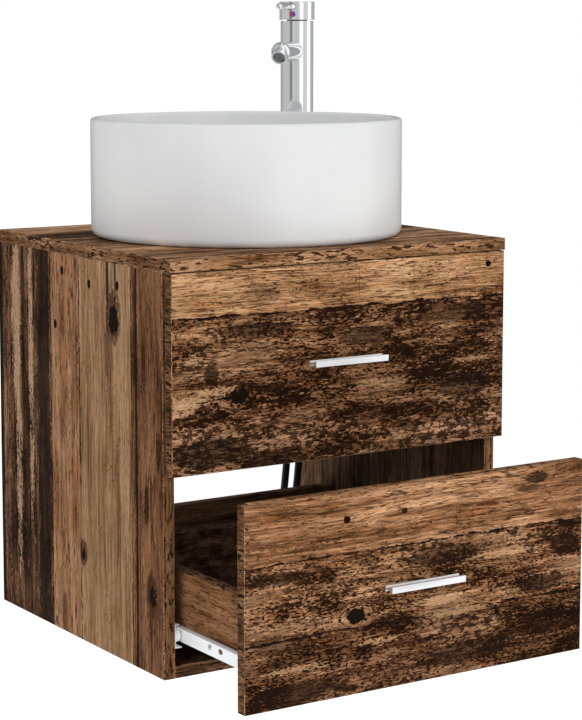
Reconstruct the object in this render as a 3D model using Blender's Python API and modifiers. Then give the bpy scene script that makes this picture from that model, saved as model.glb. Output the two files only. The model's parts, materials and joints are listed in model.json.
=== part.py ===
"""Wall-hung vanity: a two-drawer cabinet, a round vessel basin with its waste, and a tall mixer tap.

Metres, +Z up, X to the right and +Y towards the wall. The origin is the middle of the hanging
rail's back face, where the cabinet meets the wall. The lower drawer rests partly open.
"""
from math import atan2, cos, pi, radians, sin

import bmesh
import bpy
from mathutils import Matrix, Vector

# Cabinet
WIDTH = 0.490
DEPTH = 0.454
HEIGHT = 0.501
BOARD = 0.015
GAP = 0.0003                 # left between pieces that touch
EDGE = 0.0005                # softened arris of every board
FRONT_CLEARANCE = 0.004      # between a closed drawer front and the side panels
FRONT_HEIGHT = 0.2385
FRONT_TRIM = 0.0015          # each front is this much narrower than the top, at each end
REVEAL = 0.0033              # between the two fronts
FIRST_FRONT = 0.0047         # lower front's bottom edge above the cabinet's underside
RAIL_HEIGHT = 0.085
LOWER_RAIL_TOP = 0.1178
LOWER_RAIL_INSET = 0.068     # lower rail's back face to the wall

# Drawer boxes and their roller runners
RUNNER_LENGTH = 0.350
BOX_HEIGHT = 0.084
BOX_RISE = 0.039             # front's bottom edge to the box's bottom edge
RUNNER_ROOM = 0.0127         # box side to side panel
BASE_THICKNESS = 0.004
BASE_RISE = 0.008            # box's bottom edge to its base
STEEL = 0.0012
ROLLER_RADIUS = 0.0095
AXLE_RADIUS = 0.0025
OPEN_AT_REST = 0.158
RECESS_HALF_WIDTH = 0.075    # plumbing recess in the upper drawer
RECESS_DEPTH = 0.210

# Handles
HANDLE_LENGTH = 0.106
HANDLE_REACH = 0.0155
LIP_HEIGHT = 0.0078
FOOT_HEIGHT = 0.0064
WEB = 0.0030

# Basin and waste
BASIN_RADIUS = 0.200
BASIN_HEIGHT = 0.150
BASIN_FLOOR = 0.016
DRAIN_RADIUS = 0.023
WASTE_TUBE_RADIUS = 0.0195
WASTE_TAIL_RADIUS = 0.0160
PLUG_RADIUS = 0.030

# Tap, with heights above the countertop
TAP_X = 0.190
TAP_INSET = 0.056            # axis to the wall
TAP_HEIGHT = 0.300
TAP_RADIUS = 0.0227
CAP_RADIUS = 0.0243
CAP_HEIGHT = 0.025
SPOUT_HEIGHT = 0.2314
SPOUT_RADIUS = 0.0135
SPOUT_REACH = 0.084          # axis to the centre of the rounded nose
AERATOR_TILT = radians(35)
AERATOR_RADIUS = 0.0108
LEVER_HEIGHT = 0.2930
LEVER_REACH = 0.098
LEVER_RADIUS = 0.0043
PIVOT_HEIGHT = 0.2637
SHANK_RADIUS = 0.0168

# Supply hoses
HOSE_RADIUS = 0.0052
HOSE_SPREAD = 0.0104         # each hose's axis to the tap's axis
HOSE_LENGTH = 0.367
NUT_HEIGHT = 0.032

# Places worked out from the above
HANG_HEIGHT = HEIGHT - BOARD - EDGE - RAIL_HEIGHT / 2
CARCASS_DEPTH = DEPTH - BOARD - FRONT_CLEARANCE
INNER_HALF = WIDTH / 2 - BOARD
BOX_HALF = INNER_HALF - RUNNER_ROOM
BOX_FRONT = -(DEPTH - BOARD) + GAP
BOX_BACK = BOX_FRONT + RUNNER_LENGTH
BASIN_Y = -DEPTH / 2
TAP_Y = -TAP_INSET
TO_BASIN = atan2(BASIN_Y - TAP_Y, -TAP_X)


def level(height):
    """Z of a height above the cabinet's underside."""
    return height - HANG_HEIGHT


COUNTER_TOP = level(HEIGHT)
COUNTER_UNDER = level(HEIGHT - BOARD)


# Scene and materials

def clear_scene():
    for old in list(bpy.data.objects):
        bpy.data.objects.remove(old, do_unlink=True)


def collection(name):
    made = bpy.data.collections.new(name)
    bpy.context.scene.collection.children.link(made)
    return made


clear_scene()
PARTS = collection("vessel_sink_vanity")
CUTTERS = collection("cutters")


def finish(name, colour, roughness, metallic=0.0):
    made = bpy.data.materials.new(name)
    made.use_nodes = True
    shader = made.node_tree.nodes["Principled BSDF"]
    shader.inputs["Base Color"].default_value = (*colour, 1.0)
    shader.inputs["Roughness"].default_value = roughness
    shader.inputs["Metallic"].default_value = metallic
    return made


OLD_WOOD = finish("old_wood", (0.16, 0.085, 0.045), 0.6)
DARK_WOOD = finish("dark_wood", (0.06, 0.035, 0.02), 0.65)
HARDBOARD = finish("hardboard", (0.10, 0.06, 0.035), 0.7)
WHITE_STEEL = finish("white_steel", (0.85, 0.85, 0.84), 0.35)
WHITE_NYLON = finish("white_nylon", (0.9, 0.9, 0.88), 0.4)
ZINC_STEEL = finish("zinc_steel", (0.6, 0.6, 0.62), 0.35, 1.0)
ANODISED = finish("anodised_aluminium", (0.8, 0.8, 0.8), 0.3, 1.0)
CERAMIC = finish("glazed_ceramic", (0.88, 0.88, 0.88), 0.08)
CHROME = finish("chrome", (0.8, 0.8, 0.82), 0.06, 1.0)
BRASS = finish("brass", (0.7, 0.5, 0.22), 0.3, 1.0)
BLACK_RUBBER = finish("black_rubber", (0.02, 0.02, 0.02), 0.6)
GREY_NYLON = finish("grey_nylon", (0.3, 0.3, 0.32), 0.5)
INDICATOR = finish("indicator_enamel", (0.6, 0.05, 0.05), 0.3)


# Shape makers

def add(name, data, material, where=None):
    made = bpy.data.objects.new(name, data)
    (where or PARTS).objects.link(made)
    if material is not None:
        data.materials.append(material)
    return made


def box(name, low, high, material, edge=EDGE):
    """A board or bar between two corners, with softened edges."""
    low, high = Vector(low), Vector(high)
    shape = bmesh.new()
    bmesh.ops.create_cube(shape, size=1.0)
    bmesh.ops.scale(shape, vec=high - low, verts=shape.verts)
    mesh = bpy.data.meshes.new(name)
    shape.to_mesh(mesh)
    shape.free()
    made = add(name, mesh, material)
    made.location = (low + high) / 2
    if edge:
        soften(made, edge)
    return made


def soften(target, width, segments=1):
    bevel = target.modifiers.new("soft_edges", 'BEVEL')
    bevel.width = width
    bevel.segments = segments
    bevel.limit_method = 'ANGLE'
    bevel.angle_limit = radians(40)


def arc(centre, radius, start, end, count):
    """Points of an arc in a profile, angles in degrees from the first coordinate's direction."""
    turns = [radians(start + (end - start) * step / count) for step in range(count + 1)]
    return [(centre[0] + radius * cos(turn), centre[1] + radius * sin(turn)) for turn in turns]


def turned(name, profile, place, material, segments=32, closed=True, where=None):
    """Turn a (radius, height) profile about the local Z axis.

    The profile runs down its outer side. A closed one goes back up an inner side; an open one
    starts and ends on the axis.
    """
    mesh = bpy.data.meshes.new(name)
    points = [(radius, 0.0, height) for radius, height in profile]
    edges = [(i, i + 1) for i in range(len(points) - 1)]
    if closed:
        edges.append((len(points) - 1, 0))
    mesh.from_pydata(points, edges, [])
    made = add(name, mesh, material, where)
    made.matrix_world = place if isinstance(place, Matrix) else Matrix.Translation(place)
    screw = made.modifiers.new("turned", 'SCREW')
    screw.axis = 'Z'
    screw.steps = segments
    screw.render_steps = segments
    screw.use_merge_vertices = True
    screw.merge_threshold = 0.00002
    screw.use_smooth_shade = True
    return made


def rod(name, radius, low, high, place, material, segments=24, where=None):
    profile = [(0.0, high), (radius, high), (radius, low), (0.0, low)]
    return turned(name, profile, place, material, segments, closed=False, where=where)


def ring(name, outer, inner, low, high, place, material, segments=24):
    profile = [(outer, high), (outer, low), (inner, low), (inner, high)]
    return turned(name, profile, place, material, segments)


def as_mesh(source):
    """Swap a curve object for a welded mesh object of the same name and place."""
    bpy.context.view_layer.update()
    seen = source.evaluated_get(bpy.context.evaluated_depsgraph_get())
    mesh = bpy.data.meshes.new_from_object(seen)
    name, place, home = source.name, source.matrix_world.copy(), source.users_collection[0]
    bpy.data.objects.remove(source, do_unlink=True)
    shape = bmesh.new()
    shape.from_mesh(mesh)
    bmesh.ops.remove_doubles(shape, verts=shape.verts, dist=0.00001)
    bmesh.ops.recalc_face_normals(shape, faces=shape.faces)
    shape.to_mesh(mesh)
    shape.free()
    made = bpy.data.objects.new(name, mesh)
    home.objects.link(made)
    made.matrix_world = place
    return made


def slab(name, outline, thickness, place, material, where=None):
    """A flat outline in the local XY plane, thickened evenly to both sides."""
    curve = bpy.data.curves.new(name, 'CURVE')
    curve.dimensions = '2D'
    curve.fill_mode = 'BOTH'
    curve.extrude = thickness / 2
    spline = curve.splines.new('POLY')
    spline.points.add(len(outline) - 1)
    for point, (x, y) in zip(spline.points, outline):
        point.co = (x, y, 0.0, 1.0)
    spline.use_cyclic_u = True
    made = add(name, curve, material, where)
    made.matrix_world = place
    return as_mesh(made)


def hide(tool):
    """Keep a cutter or a joined shape out of the build."""
    for home in list(tool.users_collection):
        home.objects.unlink(tool)
    CUTTERS.objects.link(tool)
    tool.hide_render = True
    tool.display_type = 'WIRE'


def combine(target, tool, operation):
    step = target.modifiers.new(operation.lower(), 'BOOLEAN')
    step.operation = operation
    step.solver = 'EXACT'
    step.object = tool
    hide(tool)


def drill(target, name, radius, place, reach):
    """Cut a round hole through target along the local Z of place."""
    combine(target, rod(name, radius, -reach, reach, place, None, 32), 'DIFFERENCE')


def nut(name, radius, bore, low, high, place, material, sides=6):
    """A many-sided nut with a round bore."""
    place = place if isinstance(place, Matrix) else Matrix.Translation(place)
    made = rod(name, radius, low, high, place, material, sides)
    soften(made, 0.0008)
    drill(made, name + "_bore", bore, place @ Matrix.Translation((0, 0, (low + high) / 2)), high - low)


def along_y(x, y, z):
    """A place whose local Z points to the wall."""
    return Matrix.Translation((x, y, z)) @ Matrix.Rotation(-pi / 2, 4, 'X')


def along_x(x, y, z):
    """A place whose local X runs forward, local Y up and local Z to the left."""
    turn = Matrix(((0, 0, -1), (-1, 0, 0), (0, 1, 0))).to_4x4()
    return Matrix.Translation((x, y, z)) @ turn


# Cabinet

def side_panel(name, side):
    low, high = sorted((side * INNER_HALF, side * WIDTH / 2))
    box(name, (low, -CARCASS_DEPTH, level(0)), (high, 0, COUNTER_UNDER - GAP), OLD_WOOD)


def bottom_panel():
    half = INNER_HALF - GAP
    box("bottom_panel", (-half, -CARCASS_DEPTH, level(0)), (half, 0, level(BOARD)), OLD_WOOD)


def countertop():
    top = box("countertop", (-WIDTH / 2, -DEPTH, COUNTER_UNDER), (WIDTH / 2, 0, COUNTER_TOP), OLD_WOOD)
    tap_hole = SHANK_RADIUS + 0.0007
    drill(top, "drain_hole", DRAIN_RADIUS, Matrix.Translation((0, BASIN_Y, COUNTER_UNDER)), 2 * BOARD)
    drill(top, "tap_hole", tap_hole, Matrix.Translation((TAP_X, TAP_Y, COUNTER_UNDER)), 2 * BOARD)


BRACKET_HOLE_X = INNER_HALF - 0.024
WALL_SCREW_RADIUS = 0.004


def hanging_rail():
    half = INNER_HALF - GAP
    rail = box("hanging_rail", (-half, -BOARD, -RAIL_HEIGHT / 2), (half, 0, RAIL_HEIGHT / 2), DARK_WOOD)
    for side in (-1, 1):
        drill(rail, "rail_hole", WALL_SCREW_RADIUS, along_y(side * BRACKET_HOLE_X, -BOARD / 2, 0), 0.02)


def lower_rail():
    half = INNER_HALF - GAP
    back = -LOWER_RAIL_INSET
    box("lower_rail", (-half, back - BOARD, level(BOARD) + GAP), (half, back, level(LOWER_RAIL_TOP)),
        DARK_WOOD)


def wall_bracket(name, side):
    """An angle plate in the corner between a side panel and the hanging rail."""
    thick, reach, height = 0.002, 0.045, 0.060
    corner = INNER_HALF - GAP
    back = -BOARD - GAP
    outline = [(corner, back), (corner, back - reach), (corner - thick, back - reach),
               (corner - thick, back - thick), (corner - reach, back - thick), (corner - reach, back)]
    if side < 0:
        outline = [(-x, y) for x, y in reversed(outline)]
    plate = slab(name, outline, height, Matrix.Identity(4), ZINC_STEEL)
    drill(plate, name + "_hole", WALL_SCREW_RADIUS, along_y(side * BRACKET_HOLE_X, back, 0), 3 * thick)


# Drawers

class Drawer:
    """The places that one drawer's pieces share."""

    def __init__(self, name, order, opened):
        self.name = name
        self.bottom = level(FIRST_FRONT + order * (FRONT_HEIGHT + REVEAL))
        self.opened = opened
        self.box_low = self.bottom + BOX_RISE
        self.box_high = self.box_low + BOX_HEIGHT
        self.front = BOX_FRONT - opened
        self.back = BOX_BACK - opened


def drawer_front(drawer):
    half = WIDTH / 2 - FRONT_TRIM
    y = -DEPTH - drawer.opened
    box(drawer.name + "_front", (-half, y, drawer.bottom), (half, y + BOARD, drawer.bottom + FRONT_HEIGHT),
        OLD_WOOD)


def drawer_sides(drawer):
    for word, side in (("left", -1), ("right", 1)):
        low, high = sorted((side * BOX_HALF, side * (BOX_HALF - BOARD)))
        box(f"{drawer.name}_side_{word}", (low, drawer.front, drawer.box_low),
            (high, drawer.back, drawer.box_high), OLD_WOOD)


def across(drawer, name, left, right, back):
    """A board across the drawer box, standing on its base's level."""
    box(name, (left, back - BOARD, drawer.box_low), (right, back, drawer.box_high), DARK_WOOD)


def plain_back(drawer):
    half = BOX_HALF - BOARD - GAP
    across(drawer, drawer.name + "_back", -half, half, drawer.back)


def plain_base(drawer):
    half = BOX_HALF - BOARD - GAP
    low = drawer.box_low + BASE_RISE
    box(drawer.name + "_base", (-half, drawer.front, low),
        (half, drawer.back - BOARD - GAP, low + BASE_THICKNESS), HARDBOARD)


def recessed_back(drawer):
    """Two short backs and three walls round the plumbing recess."""
    half = BOX_HALF - BOARD - GAP
    near = RECESS_HALF_WIDTH
    across(drawer, drawer.name + "_back_left", -half, -near - BOARD - GAP, drawer.back)
    across(drawer, drawer.name + "_back_right", near + BOARD + GAP, half, drawer.back)
    end = drawer.back - RECESS_DEPTH
    across(drawer, drawer.name + "_recess_front", -near - BOARD, near + BOARD, end - GAP)
    for word, side in (("left", -1), ("right", 1)):
        low, high = sorted((side * near, side * (near + BOARD)))
        box(f"{drawer.name}_recess_{word}", (low, end, drawer.box_low),
            (high, drawer.back, drawer.box_high), DARK_WOOD)


def recessed_base(drawer):
    half = BOX_HALF - BOARD - GAP
    near = RECESS_HALF_WIDTH + BOARD + GAP
    back = drawer.back - BOARD - GAP
    end = drawer.back - RECESS_DEPTH - BOARD - 2 * GAP
    outline = [(-half, drawer.front), (half, drawer.front), (half, back), (near, back),
               (near, end), (-near, end), (-near, back), (-half, back)]
    middle = drawer.box_low + BASE_RISE + BASE_THICKNESS / 2
    slab(drawer.name + "_base", outline, BASE_THICKNESS, Matrix.Translation((0, 0, middle)), HARDBOARD)


def handle(drawer):
    """An extruded bar: a foot on the front, a thin web and a taller lip to pull on."""
    reach, lip, foot, web = HANDLE_REACH, LIP_HEIGHT / 2, FOOT_HEIGHT / 2, WEB / 2
    lip_depth, foot_depth = 0.0026, 0.0022
    upper = [(0.0, foot), (foot_depth, foot)]
    upper += arc((foot_depth + 0.0010, web + 0.0010), 0.0010, 180, 270, 3)
    upper += arc((reach - lip_depth - 0.0010, web + 0.0010), 0.0010, 270, 360, 3)
    upper += [(reach - lip_depth, lip), (reach - 0.0006, lip), (reach, lip - 0.0006)]
    outline = upper + [(y, -z) for y, z in reversed(upper)]
    middle = drawer.bottom + FRONT_HEIGHT / 2
    place = along_x(0, -DEPTH - drawer.opened - GAP, middle)
    slab(drawer.name + "_handle", outline, HANDLE_LENGTH, place, ANODISED)


# Roller runners. Heights are from the drawer box's bottom edge; x is from the side panel inwards.

RAIL_FOOT = 0.0010           # box's bottom edge down to the drawer rail's foot
RAIL_TOP = 0.0178            # box's bottom edge up to the top of the drawer rail
CHANNEL_LOW = -0.0075
CHANNEL_HIGH = 0.0215
CHANNEL_DEPTH = 0.0098
ROLLER_WIDTH = 0.0070
ROLLER_INSET = 0.0032        # side panel to the roller's outer face
AXLE_INSET = 0.012           # runner's end to the axle
FRONT_ROLLER = RAIL_TOP - STEEL - GAP - ROLLER_RADIUS
REAR_ROLLER = CHANNEL_LOW + STEEL + GAP + ROLLER_RADIUS


def runner_profile(side, points):
    """Put (distance in from the side panel, height) points into world X and Z order."""
    placed = [(side * (INNER_HALF - inward), height) for inward, height in points]
    return placed if side > 0 else placed[::-1]


def standing(y, base):
    """A place whose local X is world X, local Y is up and local Z points to the front."""
    return Matrix.Translation((0, y, base)) @ Matrix.Rotation(pi / 2, 4, 'X')


def axle(target, name, side, inward_from, inward_to, y, z):
    """A pin along X, joined to its runner."""
    place = Matrix.Translation((0, y, z)) @ Matrix.Rotation(pi / 2, 4, 'Y')
    low, high = sorted((side * (INNER_HALF - inward_from), side * (INNER_HALF - inward_to)))
    combine(target, rod(name, AXLE_RADIUS, low, high, place, None, 16), 'UNION')


def cabinet_runner(drawer, word, side):
    """The channel on the side panel, with the front roller's pin."""
    near, far = 0.0004, CHANNEL_DEPTH
    points = [(near, CHANNEL_LOW), (far, CHANNEL_LOW), (far, CHANNEL_LOW + STEEL),
              (near + STEEL, CHANNEL_LOW + STEEL), (near + STEEL, CHANNEL_HIGH - STEEL),
              (far - 0.003, CHANNEL_HIGH - STEEL), (far - 0.003, CHANNEL_HIGH), (near, CHANNEL_HIGH)]
    name = f"{drawer.name}_channel_{word}"
    start = -CARCASS_DEPTH + 0.001
    place = standing(start + RUNNER_LENGTH / 2, drawer.box_low)
    channel = slab(name, runner_profile(side, points), RUNNER_LENGTH, place, WHITE_STEEL)
    axle(channel, name + "_pin", side, near + STEEL / 2, far + 0.0004, start + AXLE_INSET,
         drawer.box_low + FRONT_ROLLER)


def drawer_runner(drawer, word, side):
    """The rail wrapped under the box side, with the rear roller's pin."""
    web, foot = RUNNER_ROOM - GAP, RUNNER_ROOM + 0.0125
    edge = ROLLER_INSET + 0.0008
    points = [(foot, -RAIL_FOOT - STEEL), (foot, -RAIL_FOOT), (web, -RAIL_FOOT), (web, RAIL_TOP),
              (edge, RAIL_TOP), (edge, RAIL_TOP - STEEL), (web - STEEL, RAIL_TOP - STEEL),
              (web - STEEL, -RAIL_FOOT - STEEL)]
    name = f"{drawer.name}_rail_{word}"
    place = standing((drawer.front + drawer.back) / 2, drawer.box_low)
    rail = slab(name, runner_profile(side, points), RUNNER_LENGTH, place, WHITE_STEEL)
    axle(rail, name + "_pin", side, web - STEEL / 2, ROLLER_INSET - 0.0004, drawer.back - AXLE_INSET,
         drawer.box_low + REAR_ROLLER)


def roller(name, side, y, z):
    """A grooveless wheel; its origin is on its axle."""
    outer = side * (INNER_HALF - ROLLER_INSET)
    inner = side * (INNER_HALF - ROLLER_INSET - ROLLER_WIDTH)
    middle = (outer + inner) / 2
    half, soft = ROLLER_WIDTH / 2, 0.0006
    profile = [(ROLLER_RADIUS - soft, half), (ROLLER_RADIUS, half - soft), (ROLLER_RADIUS, soft - half),
               (ROLLER_RADIUS - soft, -half), (AXLE_RADIUS + GAP, -half), (AXLE_RADIUS + GAP, half)]
    place = Matrix.Translation((middle, y, z)) @ Matrix.Rotation(pi / 2, 4, 'Y')
    turned(name, profile, place, WHITE_NYLON, 24)


def runners(drawer):
    for word, side in (("left", -1), ("right", 1)):
        cabinet_runner(drawer, word, side)
        drawer_runner(drawer, word, side)
        roller(f"{drawer.name}_front_roller_{word}", side, -CARCASS_DEPTH + 0.001 + AXLE_INSET,
               drawer.box_low + FRONT_ROLLER)
        roller(f"{drawer.name}_rear_roller_{word}", side, drawer.back - AXLE_INSET,
               drawer.box_low + REAR_ROLLER)


def build_drawer(drawer, recessed):
    drawer_front(drawer)
    drawer_sides(drawer)
    if recessed:
        recessed_back(drawer)
        recessed_base(drawer)
    else:
        plain_back(drawer)
        plain_base(drawer)
    handle(drawer)
    runners(drawer)


# Basin and waste, with heights above the countertop

SEAT_RADIUS = 0.0335         # recess that the waste's flange sits in
SEAT_DEPTH = 0.0030
FOOT_RECESS = 0.0040         # hollow under the basin, inside its foot ring
FLANGE_RADIUS = 0.0325
WASTE_WALL = 0.0022
NUT_LENGTH = 0.0112
SEAL_THICKNESS = 0.0027
TAIL_LENGTH = 0.058          # waste below the countertop
TUBE_LENGTH = 0.030          # its wide part


def basin():
    rim, wall, lower_edge = 0.0045, 0.009, 0.010
    hollow_centre, hollow_radius = (0.128, 0.078), 0.057
    foot, inside_foot, pad, inside_pad = 0.176, 0.174, 0.046, 0.044
    top = BASIN_HEIGHT - rim
    profile = arc((BASIN_RADIUS - rim, top), rim, 90, 0, 4)
    profile += arc((BASIN_RADIUS - lower_edge, lower_edge), lower_edge, 0, -90, 4)
    profile += [(foot, 0.0), (inside_foot, FOOT_RECESS), (pad, FOOT_RECESS), (inside_pad, 0.0)]
    profile += [(DRAIN_RADIUS, 0.0), (DRAIN_RADIUS, BASIN_FLOOR - SEAT_DEPTH)]
    profile += [(SEAT_RADIUS, BASIN_FLOOR - SEAT_DEPTH), (SEAT_RADIUS, BASIN_FLOOR)]
    profile += arc(hollow_centre, hollow_radius, -90, -3, 7)
    profile += arc((BASIN_RADIUS - wall + rim, top), rim, 180, 112, 3)
    turned("basin", profile, (0, BASIN_Y, COUNTER_TOP + GAP), CERAMIC, 48)


def waste():
    base = (0, BASIN_Y, COUNTER_TOP + GAP)
    seat = BASIN_FLOOR - SEAT_DEPTH + GAP
    flange, throat, step = 0.0020, 0.0250, 0.0040
    under = -BOARD - GAP
    shoulder, tail = under - TUBE_LENGTH, under - TAIL_LENGTH
    tube, end = WASTE_TUBE_RADIUS, WASTE_TAIL_RADIUS
    profile = [(FLANGE_RADIUS, seat + flange), (FLANGE_RADIUS, seat), (tube, seat), (tube, shoulder),
               (end, shoulder - step), (end, tail), (end - WASTE_WALL, tail),
               (end - WASTE_WALL, shoulder - step), (tube - WASTE_WALL, shoulder + GAP),
               (tube - WASTE_WALL, seat - step), (throat, seat + flange + GAP)]
    turned("waste_body", profile, base, CHROME, 16)
    seal_low = under - GAP - SEAL_THICKNESS
    ring("waste_seal", SEAT_RADIUS, tube + GAP, seal_low, under - GAP, base, BLACK_RUBBER, 32)
    nut_high = seal_low - GAP
    nut("waste_nut", 0.036, tube + GAP, nut_high - NUT_LENGTH, nut_high, base, BRASS, 8)


def waste_plug():
    """A domed cap on a stem. It lifts to let the water out."""
    base = BASIN_FLOOR - SEAT_DEPTH + 0.0036
    crown, edge, stem = 0.0046, 0.0006, 0.0040
    boss, boss_end, boss_depth, stem_start, stem_depth = 0.0125, 0.0115, 0.016, 0.018, 0.040
    profile = [(0.0, base + crown), (0.012, base + 0.0042), (0.022, base + 0.0030),
               (PLUG_RADIUS - 0.001, base + 0.0014), (PLUG_RADIUS, base + edge), (PLUG_RADIUS, base),
               (boss, base), (boss_end, base - boss_depth), (stem, base - stem_start),
               (stem, base - stem_depth), (0.0, base - stem_depth)]
    turned("waste_plug", profile, (0, BASIN_Y, COUNTER_TOP + GAP), CHROME, 32, closed=False)


# Tap

BODY_TOP = TAP_HEIGHT - CAP_HEIGHT - 0.0015
FOOT_RADIUS = 0.0265
FOOT_RISE = 0.006
BODY_WALL = 0.003
CARTRIDGE_RADIUS = 0.0172
CARTRIDGE_LOW = BODY_TOP - 0.030
STEM_ROOM = 0.0098
STEM_RADIUS = 0.0040
BALL_RADIUS = 0.0055
BALL_ROOM = 0.0027           # below the ball, to the cartridge's floor
STEM_TOP = TAP_HEIGHT - 0.0115
ROTOR_RADIUS = 0.0140
ROTOR_TOP = TAP_HEIGHT - 0.0230
SPOUT_WALL = 0.0035
SPOUT_START = 0.006          # tap's axis to where the spout's solid begins
AERATOR_FLOOR = 0.0012
AERATOR_MESH = 0.0108        # along the aerator's axis from the nose's centre
AERATOR_MOUTH = 0.0138
LEVER_START = 0.0115         # tap's axis to the end of the lever's socket
INDICATOR_HEIGHT = TAP_HEIGHT - 0.0173
INDICATOR_RADIUS = 0.0037
SHANK_LENGTH = 0.029         # below the countertop
SHANK_TOP = 0.0115
BEYOND = 0.04                # how far an open-ended cutter reaches
TAP_PLACE = Matrix.Translation((TAP_X, TAP_Y, COUNTER_TOP))


def forward_of(height):
    """A place on the tap's axis whose local Z points over the spout."""
    return TAP_PLACE @ Matrix.Translation((0, 0, height)) @ Matrix.Rotation(TO_BASIN, 4, 'Z') \
        @ Matrix.Rotation(pi / 2, 4, 'Y')


SPOUT_PLACE = forward_of(SPOUT_HEIGHT)
NOSE_PLACE = SPOUT_PLACE @ Matrix.Translation((0, 0, SPOUT_REACH)) @ Matrix.Rotation(AERATOR_TILT, 4, 'Y')


def body_bore():
    """The column's inside: the cartridge's seat, a waterway, the column's hollow and the shank's hole."""
    waterway, ledge, hollow_floor = 0.008, 0.004, 0.012
    seat, hollow, shank = CARTRIDGE_RADIUS + GAP, TAP_RADIUS - BODY_WALL, SHANK_RADIUS + GAP
    low = CARTRIDGE_LOW - GAP
    profile = [(0.0, TAP_HEIGHT), (seat, TAP_HEIGHT), (seat, low), (waterway, low),
               (waterway, CARTRIDGE_LOW - ledge), (hollow, CARTRIDGE_LOW - ledge), (hollow, hollow_floor),
               (shank, hollow_floor), (shank, -BOARD), (0.0, -BOARD)]
    return turned("body_bore", profile, TAP_PLACE, None, 32, closed=False)


def tap_body():
    """A hollow column with its spout, open below for the shank and above for the cartridge."""
    edge, foot_edge = 0.0005, 0.001
    profile = [(0.0, BODY_TOP), (TAP_RADIUS - edge, BODY_TOP), (TAP_RADIUS, BODY_TOP - edge),
               (TAP_RADIUS, FOOT_RISE + foot_edge), (FOOT_RADIUS - foot_edge, FOOT_RISE),
               (FOOT_RADIUS, FOOT_RISE - foot_edge), (FOOT_RADIUS, GAP), (0.0, GAP)]
    body = turned("tap_body", profile, TAP_PLACE, CHROME, 32, closed=False)
    nose = arc((0.0, SPOUT_REACH), SPOUT_RADIUS, 90, 0, 6)
    spout = turned("spout", nose + [(SPOUT_RADIUS, SPOUT_START), (0.0, SPOUT_START)], SPOUT_PLACE, None, 32,
                   closed=False)
    combine(body, spout, 'UNION')
    combine(body, body_bore(), 'DIFFERENCE')
    combine(body, rod("spout_bore", SPOUT_RADIUS - SPOUT_WALL, 2 * SPOUT_START, SPOUT_REACH, SPOUT_PLACE,
                      None), 'DIFFERENCE')
    combine(body, rod("aerator_socket", AERATOR_RADIUS + GAP, AERATOR_FLOOR, BEYOND, NOSE_PLACE, None),
            'DIFFERENCE')


def tap_aerator():
    """A ring in the nose, with its mesh set back from the mouth."""
    low, mesh, mouth = AERATOR_FLOOR + 2 * GAP, AERATOR_MESH, AERATOR_MOUTH
    outer, inner, inner_edge, outer_edge = AERATOR_RADIUS, 0.0082, 0.0004, 0.0006
    profile = [(0.0, mesh), (inner, mesh), (inner, mouth - inner_edge), (inner + inner_edge, mouth),
               (outer - outer_edge, mouth), (outer, mouth - outer_edge), (outer, low), (0.0, low)]
    turned("tap_aerator", profile, NOSE_PLACE, CHROME, 28, closed=False)


def tap_cartridge():
    """The fixed housing in the column; the handle's rotor turns on top of it."""
    floor = PIVOT_HEIGHT - BALL_RADIUS - BALL_ROOM
    profile = [(0.0, floor), (STEM_ROOM, floor), (STEM_ROOM, BODY_TOP - GAP),
               (CARTRIDGE_RADIUS, BODY_TOP - GAP), (CARTRIDGE_RADIUS, CARTRIDGE_LOW), (0.0, CARTRIDGE_LOW)]
    turned("tap_cartridge", profile, TAP_PLACE, GREY_NYLON, 28, closed=False)


def tap_rotor():
    ring("tap_rotor", ROTOR_RADIUS, STEM_ROOM, BODY_TOP, ROTOR_TOP, TAP_PLACE, GREY_NYLON, 28)


def tap_spindle():
    """The stem that the cap is fixed to, with its ball on the tilting axis."""
    ball = arc((0.0, PIVOT_HEIGHT), BALL_RADIUS, 46, -90, 7)
    profile = [(0.0, STEM_TOP), (STEM_RADIUS, STEM_TOP)] + ball[:-1]
    profile.append((0.0, PIVOT_HEIGHT - BALL_RADIUS))
    turned("tap_spindle", profile, TAP_PLACE, ZINC_STEEL, 20, closed=False)


def tap_cap():
    low, high, edge, wall = TAP_HEIGHT - CAP_HEIGHT, TAP_HEIGHT, 0.0012, 0.0020
    skirt, roof, socket = CAP_RADIUS - wall, TAP_HEIGHT - 0.015, STEM_RADIUS + 0.0004
    socket_top = STEM_TOP + 0.0005
    profile = [(0.0, high), (CAP_RADIUS - edge, high), (CAP_RADIUS, high - edge), (CAP_RADIUS, low),
               (skirt, low), (skirt, roof), (socket, roof), (socket, socket_top), (0.0, socket_top)]
    cap = turned("tap_cap", profile, TAP_PLACE, CHROME, 32, closed=False)
    combine(cap, rod("lever_socket", LEVER_RADIUS + GAP, LEVER_START, BEYOND, forward_of(LEVER_HEIGHT), None),
            'DIFFERENCE')
    combine(cap, rod("indicator_seat", INDICATOR_RADIUS + 0.0004, CAP_RADIUS - 0.0009, BEYOND,
                     forward_of(INDICATOR_HEIGHT), None, 20), 'DIFFERENCE')


def tap_lever():
    tip = arc((0.0, LEVER_REACH - LEVER_RADIUS), LEVER_RADIUS, 90, 0, 5)
    start = LEVER_START + 0.0005
    profile = tip + [(LEVER_RADIUS, start), (0.0, start)]
    turned("tap_lever", profile, forward_of(LEVER_HEIGHT), CHROME, 24, closed=False)


def tap_indicator():
    low, crown, edge = CAP_RADIUS - 0.0006, 0.0012, 0.0006
    profile = [(0.0, low + crown), (INDICATOR_RADIUS - 0.0011, low + crown - 0.0001),
               (INDICATOR_RADIUS, low + edge), (INDICATOR_RADIUS, low), (0.0, low)]
    turned("tap_indicator", profile, forward_of(INDICATOR_HEIGHT), INDICATOR, 20, closed=False)


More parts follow.
